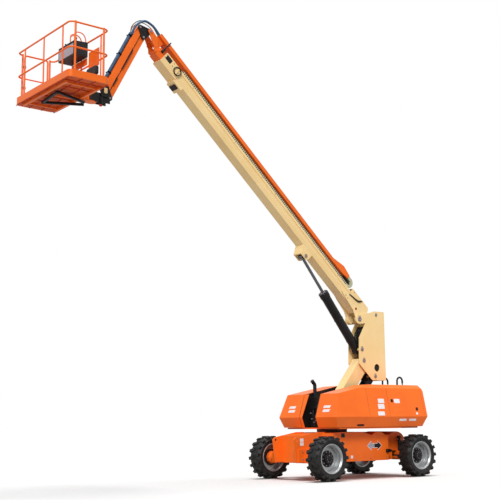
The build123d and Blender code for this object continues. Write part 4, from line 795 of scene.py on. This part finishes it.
def dress_boom():
    """Wear pads, straps, bolts, rings, collar, tray guide, pins and tail hoses on the boom sections."""
    dark, pads, cream, bolts, orange, red = [], [], [], [], [], []
    for side in (-1, 1):
        low, high = span(side, 0.163, 0.183)
        dark.append(prism(rectangle(8.087, 8.263, 0.200, 0.322, 0.006), BOOM, low, high, 0.003))
        low, high = span(side, 0.178, 0.181)
        red.append(prism(polygon(20, 0.034, TAIL_MARK), BOOM, low, high, 0.001))
        low, high = span(side, 0.181, 0.1825)
        dark.append(prism(polygon(20, 0.021, TAIL_MARK), BOOM, low, high))
        low, high = span(side, 0.172, 0.176)
        cream.append(prism(STRAP, BOOM, low, high, 0.0015))
        for s, n in TAIL_BOLTS:
            bolts += bolt(BOOM, (s, n), side * 0.178, 0.010, side)
        for s in (7.80, 8.02, 8.28):
            bolts += bolt(BOOM, (s, 0.220), side * 0.186, 0.009, side)
            bolts += bolt(BOOM, (s, 0.305), side * 0.186, 0.009, side)
        for s in range(1, 13):
            bolts += bolt(BOOM, (0.70 + s * 0.55, 0.310), side * 0.190, 0.007, side)
    pads.append(prism(rectangle(7.540, 7.670, -0.018, 0.0115, 0.004), BOOM, -0.105, 0.105, 0.004))
    dark.append(lathe(CLAMP_RING, moved(BOOM, 7.846, 0.228), 40, True))
    cream.append(prism(rectangle(7.826, 7.866, 0.120, 0.336, 0.006), BOOM, -0.200, -0.186, 0.002))
    add_piece("boom_dark_trim", dark, BLACK, "boom_base")
    add_piece("boom_pad", pads, NYLON_DARK, "boom_base")
    add_piece("boom_straps", cream, CREAM, "boom_base")
    add_piece("boom_bolts", bolts, STEEL, "boom_base")
    add_piece("boom_red_rings", red, RED, "boom_base")
    clamp = [prism(rectangle(8.400, 8.428, 0.330, 0.600, 0.006), BOOM, -0.200, -0.184, 0.003),
             prism(rectangle(8.380, 8.432, 0.235, 0.350, 0.004), BOOM, -0.196, -0.1505, 0.003)]
    add_piece("tray_guide", clamp, BLACK, "boom_mid")
    ring = []
    for side in (-1, 1):
        low, high = span(side, 0.1502, 0.158)
        ring.append(prism(rectangle(8.440, 8.488, 0.205, 0.312, 0.004), BOOM, low, high, 0.002))
    add_piece("mid_collar", ring, ORANGE, "boom_mid")
    for side in (-1, 1):
        low, high = span(side, 0.1302, 0.136)
        orange.append(prism(rectangle(8.560, 8.700, 0.215, 0.285, 0.010), BOOM, low, high, 0.002))
        low, high = span(side, 0.1302, 0.141)
        orange.append(prism(polygon(20, 0.062, NOSE_PIN), BOOM, low, high, 0.003))
    add_piece("nose_doublers", orange, ORANGE, "boom_fly")
    pins = []
    for side in (-1, 1):
        pins.append(pin_head(moved(BOOM, *NOSE_PIN), side, 0.034, 0.028, 0.141, 0.149, 0.153))
        pins += bolt(BOOM, (8.960, 0.440), side * 0.130, 0.008, side)
    add_piece("nose_pins", pins, STEEL, "boom_fly")
    hoses = [tube([world(BOOM, *spot) for spot in route], radius) for radius, route in TAIL_HOSES]
    add_piece("tail_hose", hoses, HOSE, "boom_base")


# Joints of the track tray: how many, where the first lies along the boom, pitch
TRAY_JOINTS, TRAY_START, TRAY_PITCH = 5, 2.30, 1.35


def dress_tray():
    """Folded edges, joints and screws of the track tray."""
    orange, screws = [], []
    joints = [TRAY_START + index * TRAY_PITCH for index in range(TRAY_JOINTS)]
    for low, high in ((-0.1795, -0.1755), (0.0555, 0.0595)):
        orange.append(prism(rectangle(1.700, 8.710, 0.549, 0.562, 0.003), BOOM, low, high, 0.001))
        for s in joints:
            orange.append(prism(rectangle(s, s + 0.060, 0.477, 0.549, 0.002), BOOM, low, high, 0.001))
    for s in joints:
        for shift in (0.015, 0.045):
            screws += bolt(BOOM, (s + shift, 0.515), -0.1795, 0.0055, -1)
    add_piece("tray_folds", orange, ORANGE, "boom_fly")
    add_piece("tray_screws", screws, STEEL, "boom_fly")


# Hard pipe on the lift cylinder: distance along it, and out from its axis
PIPE_ROUTE = ((0.20, 0.100), (0.26, 0.128), (0.70, 0.128), (1.20, 0.128), (1.66, 0.128), (1.72, 0.110))
BAND_STARTS = (0.30, 0.95, 1.62)


def dress_cylinders():
    """Gland, tie bolts, bands, hard pipe and upper pin heads of the boom lift cylinder."""
    foot = np.array((0.921, 0, 3.192))
    across = np.cross((0, 1, 0), LIFT_ALONG)
    end = place(foot, (0, 1, 0), across)
    side = 1.0 if np.dot(end[3], LIFT_ALONG) > 0 else -1.0
    gland = [(0.0385, 1.789), (0.070, 1.789), (0.070, 1.800), (0.062, 1.806), (0.0385, 1.806)]
    steel = [lathe([(radius, side * along) for radius, along in gland], end, 28, True)]
    for middle in polygon(10, 0.102, turn=0.15):
        steel += bolt(end, middle, side * 1.790, 0.012, side)
    dark = []
    for start in BAND_STARTS:
        band = ((0.115, side * start), (0.121, side * (start + 0.004)), (0.121, side * (start + 0.030)),
                (0.115, side * (start + 0.034)))
        dark.append(lathe(band, end, 36, True))
    outwards = -0.72 * np.array((0, 1, 0)) - 0.69 * np.array((0.7803, 0, 0.6254))
    pipe = [foot + along * np.array(LIFT_ALONG) + out * outwards for along, out in PIPE_ROUTE]
    dark.append(tube(pipe, 0.010))
    add_piece("lift_cylinder_gland", steel, STEEL, "lift_barrel")
    add_piece("lift_cylinder_bands", dark, BLACK, "lift_barrel")
    spot = moved(BOOM, 2.295, -0.075)
    pins = [pin_head(spot, s, 0.046, 0.040, 0.1560, 0.164, 0.168, 24) for s in (-1, 1)]
    add_piece("lift_pin_heads", pins, STEEL, "boom_base")


# Ribs of the jib's sleeve: how many, first start, pitch; strap starts along the jib
SLEEVE_RIBS, SLEEVE_START, SLEEVE_PITCH = 54, 0.235, 0.0245
STRAP_STARTS = (0.30, 0.86, 1.42)
# Pins of the jib's two links on the bracket and on the head: along and over the jib
BRACKET_PINS = ((0.0, 0.0), (0.157, -0.183))
HEAD_PINS = ((1.830, 0.0), (1.987, -0.183))
# A link pin's head: radius, radius of its top, and base, edge and top across the jib
LINK_PIN_HEAD = (0.027, 0.022, 0.103, 0.111, 0.114)
# Black plates on the jib's side that paint the shade of the gap between its two arms: along and over the jib
JIB_GAP_SHADE = (((0.590, -0.122), (1.170, -0.122), (1.190, -0.088), (0.570, -0.088)),
             ((1.430, -0.124), (1.660, -0.124), (1.660, -0.090), (1.410, -0.090)))
# Doublers on the jib's side: start and end along it
JIB_DOUBLERS = ((0.12, 0.62), (1.30, 1.72))
# Foot under the jib's head: radius and height
HEAD_FOOT = ((0.0, 8.262), (0.034, 8.262), (0.040, 8.270), (0.052, 8.330), (0.052, 8.430), (0.0, 8.430))
FOOT_TIP = ((0.0, 8.226), (0.028, 8.226), (0.034, 8.232), (0.034, 8.262), (0.0, 8.262))


def dress_jib():
    """Corrugated sleeve with its straps, link pins, plates, doublers, painted shade in the arms' gap, and the
    head's valve block.
    """
    ribs = []
    for index in range(SLEEVE_RIBS):
        start = SLEEVE_START + index * SLEEVE_PITCH
        ribs += [(0.036, start), (0.042, start + 0.005), (0.042, start + 0.014), (0.036, start + 0.019)]
    rest = place(world(JIB, 0, 0.096, 0.0), JIB[3], JIB[2])
    sign = 1.0 if np.dot(rest[3], JIB[1]) > 0 else -1.0
    sleeve = lathe([(r, sign * h) for r, h in [(0.020, 0.232)] + ribs + [(0.020, 1.560)]], rest, 22)
    add_piece("jib_sleeve", [sleeve], SLEEVE, "jib_upper")
    straps = []
    for s in STRAP_STARTS:
        straps.append(prism(rectangle(s, s + 0.030, 0.0525, 0.142, 0.02), JIB, -0.048, 0.048, 0.004))
    add_piece("sleeve_straps", straps, BLACK, "jib_upper")
    pins, plates = [], []
    for side in (-1, 1):
        pins += [pin_head(moved(JIB, *spot), side, *LINK_PIN_HEAD) for spot in BRACKET_PINS]
        low, high = span(side, 0.103, 0.107)
        plates.append(prism(rectangle(-0.060, 0.060, -0.150, -0.060, 0.010), JIB, low, high, 0.0015))
    add_piece("bracket_pins", pins, STEEL, "level_bracket")
    add_piece("bracket_plates", plates, BLACK, "level_bracket")
    ends = [pin_head(moved(JIB, *spot), side, *LINK_PIN_HEAD) for side in (-1, 1) for spot in HEAD_PINS]
    add_piece("jib_head_pins", ends, STEEL, "jib_head")
    orange = []
    for side in (-1, 1):
        low, high = span(side, 0.0762, 0.080)
        for start, end in JIB_DOUBLERS:
            orange.append(prism(rectangle(start, end, -0.085, 0.036, 0.03), JIB, low, high, 0.001))
    add_piece("jib_doublers", orange, ORANGE, "jib_upper")
    # Black plates in the gap between the jib's arms: painted shade
    slots = []
    for side in (-1, 1):
        low, high = span(side, 0.0762, 0.0785)
        slots += [prism(outline, JIB, low, high) for outline in JIB_GAP_SHADE]
    add_piece("jib_gap_painted_shade", slots, BLACK, "jib_upper")
    block = [prism(rectangle(-6.760, -6.560, 8.440, 8.700, 0.012), MIDDLE, 0.1035, 0.135, 0.004)]
    foot = level_at(-6.745, -0.085, 0)
    block.append(lathe(HEAD_FOOT, foot, 24))
    add_piece("head_valve_block", block, BLACK, "jib_head")
    cap = [prism(rectangle(-6.698, -6.618, 8.520, 8.640, 0.014), MIDDLE, 0.135, 0.165, 0.008)]
    add_piece("head_valve_cap", cap, CREAM, "jib_head")
    add_piece("head_foot_tip", [lathe(FOOT_TIP, foot, 24)], RED, "jib_head")


def strip(start, end, half, over=0.0):
    """Outline of a straight strip: half its width to each side of a line, and over past both its ends."""
    (a, b), (c, d) = start, end
    side_u, side_v = unit((b - d, c - a)) * half
    run_u, run_v = unit((c - a, d - b)) * over
    return [(a - run_u - side_u, b - run_v - side_v), (c + run_u - side_u, d + run_v - side_v),
            (c + run_u + side_u, d + run_v + side_v), (a - run_u + side_u, b - run_v + side_v)]


# Mesh under the floor: half its size along and across, pitch of its wires, half their width, shortest one
MESH_U, MESH_V, MESH_PITCH, WIRE_HALF, WIRE_SHORTEST = 0.430, 1.185, 0.060, 0.0035, 0.03
# Bars under the floor: places across and along, and half the width
CROSS_BARS = (-0.98, -0.585, -0.195, 0.195, 0.585, 0.98)
LONG_BARS = (-0.455, -0.150, 0.150, 0.455)
BAR_HALF = 0.010
# Corners of the black support frame: x, y
FRAME_CORNERS = {"a": (-7.950, -0.385), "b": (-7.870, 0.430), "c": (-7.110, 0.062), "d": (-7.190, -0.100)}
# Sleeve of a gate hinge: radius and height; heights of both over the floor
HINGE_SLEEVE = ((0.0295, -0.004), (0.033, -0.002), (0.033, 0.046), (0.0295, 0.048))
HINGE_RISES = (0.404, 0.889)


def mesh_wire(shift, slope):
    """Ends of a slanted wire cut to the mesh's size, or None where too little is left of it."""
    ends = []
    for u in (-MESH_U, MESH_U):
        v = shift + slope * u
        if v > MESH_V or v < -MESH_V:
            v = max(-MESH_V, min(MESH_V, v))
            u = slope * (v - shift)
        ends.append((u, v))
    first, last = ends[0][0], ends[1][0]
    if abs(first - last) < WIRE_SHORTEST or max(abs(first), abs(last)) > MESH_U + 0.001:
        return None
    return ends


def dress_platform():
    """Mesh, bars and grip of the floor, black support frame and gate hinge sleeves."""
    under = level_at(PLATFORM_X, 0, FLOOR_Z)
    lattice, frame_bars = [], []
    for step in range(-58, 59):
        for slope in (-1, 1):
            ends = mesh_wire(step * MESH_PITCH, slope)
            if ends:
                depth = -0.0045 if slope > 0 else -0.0030
                lattice.append(prism(strip(*ends, WIRE_HALF), under, depth, -SEAT))
    for v in CROSS_BARS:
        outline = rectangle(LONG_BARS[0], LONG_BARS[-1], v - BAR_HALF, v + BAR_HALF)
        frame_bars.append(prism(outline, under, -0.020, -SEAT, 0.002))
    for u in LONG_BARS:
        outline = rectangle(u - BAR_HALF, u + BAR_HALF, -1.20, 1.20)
        frame_bars.append(prism(outline, under, -0.018, -SEAT, 0.002))
    # The mesh and bars under the floor carry the orange with painted shade
    add_piece("floor_mesh", lattice, SHADED_ORANGE, "platform")
    add_piece("floor_frame", frame_bars, SHADED_ORANGE, "platform")
    grip = []
    for row in range(-18, 19):
        v = row * MESH_PITCH
        grip.append(prism(rectangle(-0.400, 0.400, v - 0.004, v + 0.004), under, 0.0342, 0.0368, 0.001))
    add_piece("floor_grip", grip, ORANGE, "platform")
    black = []
    level = level_at(0, 0, FLOOR_Z - 0.060)
    for start, end in (("a", "b"), ("b", "c"), ("a", "d")):
        outline = strip(FRAME_CORNERS[start], FRAME_CORNERS[end], 0.030, 0.030)
        black.append(prism(outline, level, -0.055, -0.0005, 0.008))
    add_piece("support_frame", black, BLACK, "platform")
    hinge = []
    for rise in HINGE_RISES:
        spot = level_at(PLATFORM_X - 0.280, 1.2047, FLOOR_Z + rise)
        hinge.append(lathe(HINGE_SLEEVE, spot, 20, True))
        hinge.append(prism(rectangle(-0.075, -0.020, -0.013, 0.013, 0.003), spot, 0.002, 0.042, 0.002))
    add_piece("gate_hinge_sleeves", hinge, STEEL, "platform")


# Console box: x of its outer face, depth, height of its top over the floor
CONSOLE_X, CONSOLE_DEPTH, CONSOLE_RISE = PLATFORM_X + 0.4334, 0.330, 1.140
# Levers: x from the outer face, y, height
LEVERS = ((-0.22, -0.24, 0.110), (-0.22, 0.24, 0.110), (-0.20, 0.0, 0.060))
# Row of small switches: how many, first y, pitch; profiles: radius and height
SWITCHES, SWITCH_START, SWITCH_PITCH = 6, -0.26, 0.104
SWITCH = ((0.013, 0.0), (0.013, 0.006), (0.005, 0.009), (0.004, 0.026), (0.0, 0.027))
STOP_BUTTON = ((0.012, 0.0), (0.012, 0.012), (0.024, 0.014), (0.024, 0.022), (0.018, 0.028), (0.0, 0.029))
# Guard hoops: their y, and the route of each as x from the inner face and rise over the top
HOOP_YS = (-0.30, -0.12)
HOOP_ROUTE = ((0.030, 0.010), (0.030, 0.15), (0.040, 0.21), (0.110, 0.24), (0.230, 0.23), (0.300, 0.14),
              (0.310, 0.010))


def dress_console():
    """Sloped lid with its cheeks, face, levers, stop button, guard hoops, and panels and box on the rail."""
    x_high, x_low, top = CONSOLE_X, CONSOLE_X - CONSOLE_DEPTH, FLOOR_Z + CONSOLE_RISE
    slope = [(x_low - 0.006, top + 0.001), (x_high - 0.002, top + 0.001), (x_high - 0.002, top + 0.034),
             (x_low - 0.006, top + 0.014)]
    lid = [prism(slope, MIDDLE, -0.352, 0.352, 0.005)]
    cheek = rectangle(x_low - 0.004, x_high - 0.004, top - 0.28, top - 0.02)
    for y in (-0.338, 0.338):
        lid.append(prism(cheek, moved(MIDDLE, 0, 0, -y), -0.0165, 0.0165, 0.006))
    add_piece("console_lid", lid, ABS, "platform")
    face = rectangle(-0.320, 0.320, top - 0.275, top - 0.040, 0.015)
    add_piece("console_face", [prism(face, across_at(x_low), -0.008, -0.0005, 0.002)], GREY_MARK, "platform")
    up = level_at(0, 0, top + 0.022)
    knobs = []
    for x, y, height in LEVERS:
        lever = ((0.034, 0.0), (0.032, 0.006), (0.022, 0.018), (0.008, 0.026), (0.007, height * 0.6),
                 (0.017, height * 0.7), (0.020, height * 0.9), (0.012, height), (0.0, height))
        knobs.append(lathe(lever, moved(up, x_high + x, y), 20))
    for row in range(SWITCHES):
        knobs.append(lathe(SWITCH, moved(up, x_high - 0.10, SWITCH_START + row * SWITCH_PITCH, 0.003), 14))
    add_piece("console_levers", knobs, BLACK, "platform")
    stop = lathe(STOP_BUTTON, moved(up, x_high - 0.20, 0.12, 0.002), 22)
    add_piece("console_stop_button", [stop], RED, "platform")
    hoops = [tube([(x_low + x, y, top + rise) for x, rise in HOOP_ROUTE], 0.0125) for y in HOOP_YS]
    hoops.append(tube([(x_low + 0.035, y, top + 0.16) for y in HOOP_YS], 0.009, cuts=1))
    add_piece("console_guard_hoops", hoops, ORANGE, "platform")
    panel = across_at(x_high - 0.003)
    plate = rectangle(-0.860, -0.410, FLOOR_Z + 0.520, FLOOR_Z + 0.920, 0.015)
    add_piece("rail_panel", [prism(plate, panel, -0.006, 0.0, 0.002)], ORANGE, "platform")
    box = rectangle(-0.840, -0.450, FLOOR_Z + 0.330, FLOOR_Z + 0.510, 0.020)
    add_piece("rail_box", [prism(box, panel, -0.080, 0.0, 0.008)], ABS, "platform")
    plate = rectangle(-0.348, 0.348, top - 0.47, top - 0.31, 0.01)
    add_piece("console_panel", [prism(plate, panel, -0.006, 0.0, 0.002)], ORANGE, "platform")


# Free hoses over the knuckle, clamped on the level bracket: name, diameter, finish, and the routes before and
# after the clamp, along, over and across the boom
KNUCKLE_HOSES = (
    ("sleeve", 0.056, SLEEVE,
     ((8.700, 0.520, -0.120), (8.860, 0.518, -0.148), (9.000, 0.508, -0.152), (9.100, 0.465, -0.152)),
     ((9.100, 0.465, -0.152), (9.170, 0.435, -0.152), (9.225, 0.330, -0.150), (9.246, 0.200, -0.135),
      (9.228, 0.070, -0.090), (9.155, -0.040, -0.055))),
    ("supply", 0.020, HOSE,
     ((8.700, 0.510, -0.060), (8.860, 0.565, -0.055), (9.020, 0.565, -0.050), (9.120, 0.515, -0.047)),
     ((9.120, 0.515, -0.047), (9.200, 0.475, -0.045), (9.270, 0.360, -0.040), (9.300, 0.200, -0.035),
      (9.265, 0.050, -0.030), (9.170, -0.040, -0.022))),
    ("return", 0.020, BRASS,
     ((8.700, 0.490, 0.010), (8.860, 0.550, 0.015), (9.010, 0.550, 0.020), (9.105, 0.500, 0.022)),
     ((9.105, 0.500, 0.022), (9.175, 0.463, 0.024), (9.238, 0.350, 0.028), (9.260, 0.210, 0.030),
      (9.232, 0.075, 0.030), (9.152, -0.036, 0.026))),
)


def spline_points(route):
    """Points of the NURBS spline of order three whose control points are the route."""
    curve = bpy.data.curves.new("route", "CURVE")
    curve.dimensions = "3D"
    curve.resolution_u = 8
    spline = curve.splines.new("NURBS")
    spline.points.add(len(route) - 1)
    for point, spot in zip(spline.points, route):
        point.co = (*spot, 1.0)
    spline.order_u = 3
    spline.use_endpoint_u = True
    holder = bpy.data.objects.new("route", curve)
    bpy.context.scene.collection.objects.link(holder)
    bpy.context.view_layer.update()
    line = bpy.data.meshes.new_from_object(holder)
    points = np.array([tuple(vertex.co) for vertex in line.vertices])
    bpy.data.objects.remove(holder)
    bpy.data.curves.remove(curve)
    bpy.data.meshes.remove(line)
    return points


def make_cord(name, diameter, finish, route):
    """Hose laid between two bodies and riding on neither: a circle carried along the route's spline."""
    line = spline_points(route)
    hose = add_piece(name, [tube(line, diameter / 2, 14, 0)], finish, None)
    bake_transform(hose)


def make_hoses():
    """Hoses that arch over the knuckle: fly boom to level bracket, and level bracket to jib."""
    for name, diameter, finish, before, after in KNUCKLE_HOSES:
        make_cord(f"knuckle_{name}_boom", diameter, finish, [world(BOOM, *spot) for spot in before])
        make_cord(f"knuckle_{name}_jib", diameter, finish, [world(BOOM, *spot) for spot in after])


make_hoses()
dress_wheels()
dress_chassis()
dress_hoods()
dress_turntable()
dress_upright()
dress_track()
dress_boom()
dress_tray()
dress_cylinders()
dress_jib()
dress_platform()
dress_console()


# Stage: the floor's brightness to the camera and to the light that it throws back, and the surround's light
FLOOR_SEEN = 1.04
FLOOR_BOUNCE = 0.62
WORLD_LEVEL = 0.32
# Half the floor's side, and how far the camera sees
FLOOR_REACH, CLIP_END = 120.0, 400.0
# Suns: strength, turn in degrees, width of the disc in degrees
KEY_SUN = (2.4, (54, 0, -44), 20)
TOP_SUN = (2.1, (3, 0, -30), 28)


def make_floor():
    """Flat floor that shows white to the camera, keeps the shadow and throws less light back."""
    mesh = bpy.data.meshes.new("floor")
    corners = [(x * FLOOR_REACH, y * FLOOR_REACH, 0) for x, y in ((-1, -1), (1, -1), (1, 1), (-1, 1))]
    mesh.from_pydata(corners, [], [(0, 1, 2, 3)])
    floor = bpy.data.objects.new("floor", mesh)
    bpy.context.scene.collection.objects.link(floor)
    material = bpy.data.materials.new("floor_paper")
    material.use_nodes = True
    tree = material.node_tree
    tree.nodes.clear()
    ray = node(tree, "ShaderNodeLightPath")
    shade = node(tree, "ShaderNodeMix", {"data_type": "RGBA"})
    tree.links.new(ray.outputs["Is Camera Ray"], shade.inputs[0])
    shade.inputs[6].default_value = (FLOOR_BOUNCE, FLOOR_BOUNCE, FLOOR_BOUNCE, 1)
    shade.inputs[7].default_value = (FLOOR_SEEN, FLOOR_SEEN, FLOOR_SEEN, 1)
    diffuse = node(tree, "ShaderNodeBsdfDiffuse", links={"Color": shade.outputs[2]})
    node(tree, "ShaderNodeOutputMaterial", links={"Surface": diffuse.outputs[0]})
    mesh.materials.append(material)


def make_world():
    """Soft white surround, at full white where the camera, a gloss or a glass looks at it."""
    studio = bpy.data.worlds.new("studio")
    bpy.context.scene.world = studio
    studio.use_nodes = True
    tree = studio.node_tree
    tree.nodes.clear()
    ray = node(tree, "ShaderNodeLightPath")
    seen = node(
        tree, "ShaderNodeMath", {"operation": "MAXIMUM"},
        {0: ray.outputs["Is Camera Ray"], 1: ray.outputs["Is Transmission Ray"]}).outputs[0]
    seen = node(
        tree, "ShaderNodeMath", {"operation": "MAXIMUM"},
        {0: seen, 1: ray.outputs["Is Glossy Ray"]}).outputs[0]
    level = node(
        tree, "ShaderNodeMapRange", {"To Min": WORLD_LEVEL, "To Max": 1.0}, {"Value": seen}).outputs["Result"]
    back = node(tree, "ShaderNodeBackground", {"Color": (1, 1, 1, 1)}, {"Strength": level})
    node(tree, "ShaderNodeOutputWorld", links={"Surface": back.outputs[0]})


def make_lamp(name, strength, turn, soft):
    """Sun lamp with a wide soft disc, turned by Euler degrees."""
    data = bpy.data.lights.new(name, "SUN")
    data.energy = strength
    data.angle = math.radians(soft)
    lamp = bpy.data.objects.new(name, data)
    lamp.rotation_euler = [math.radians(a) for a in turn]
    bpy.context.scene.collection.objects.link(lamp)
    return lamp


def keep_off_floor(lamp):
    """Light that shapes the machine but leaves the floor's shadow to the lamp overhead."""
    skipped = bpy.data.collections.new("not_lit_by_" + lamp.name)
    skipped.objects.link(bpy.data.objects["floor"])
    lamp.light_linking.receiver_collection = skipped
    skipped.collection_objects[0].light_linking.link_state = "EXCLUDE"


def make_camera():
    """Camera whose right, up and view axes come from yaw, pitch and roll."""
    yaw, pitch, roll = (math.radians(a) for a in (CAMERA_YAW, CAMERA_PITCH, CAMERA_ROLL))
    view = np.array([math.sin(yaw) * math.cos(pitch), math.cos(yaw) * math.cos(pitch), math.sin(pitch)])
    side = np.array([math.cos(yaw), -math.sin(yaw), 0.0])
    up = np.cross(side, view)
    right = math.cos(roll) * side + math.sin(roll) * up
    top = -math.sin(roll) * side + math.cos(roll) * up
    data = bpy.data.cameras.new("photo_camera")
    data.lens = CAMERA_LENS
    data.sensor_width = SENSOR_WIDTH
    data.clip_end = CLIP_END
    camera = bpy.data.objects.new("photo_camera", data)
    matrix = np.eye(4)
    matrix[:3, 0], matrix[:3, 1], matrix[:3, 2], matrix[:3, 3] = right, top, -view, CAMERA_PLACE
    camera.matrix_world = Matrix(matrix.tolist())
    bpy.context.scene.collection.objects.link(camera)
    bpy.context.scene.camera = camera


make_floor()
make_world()
keep_off_floor(make_lamp("key_sun", *KEY_SUN))
make_lamp("top_sun", *TOP_SUN)
make_camera()
bpy.context.scene.view_settings.view_transform = "Standard"
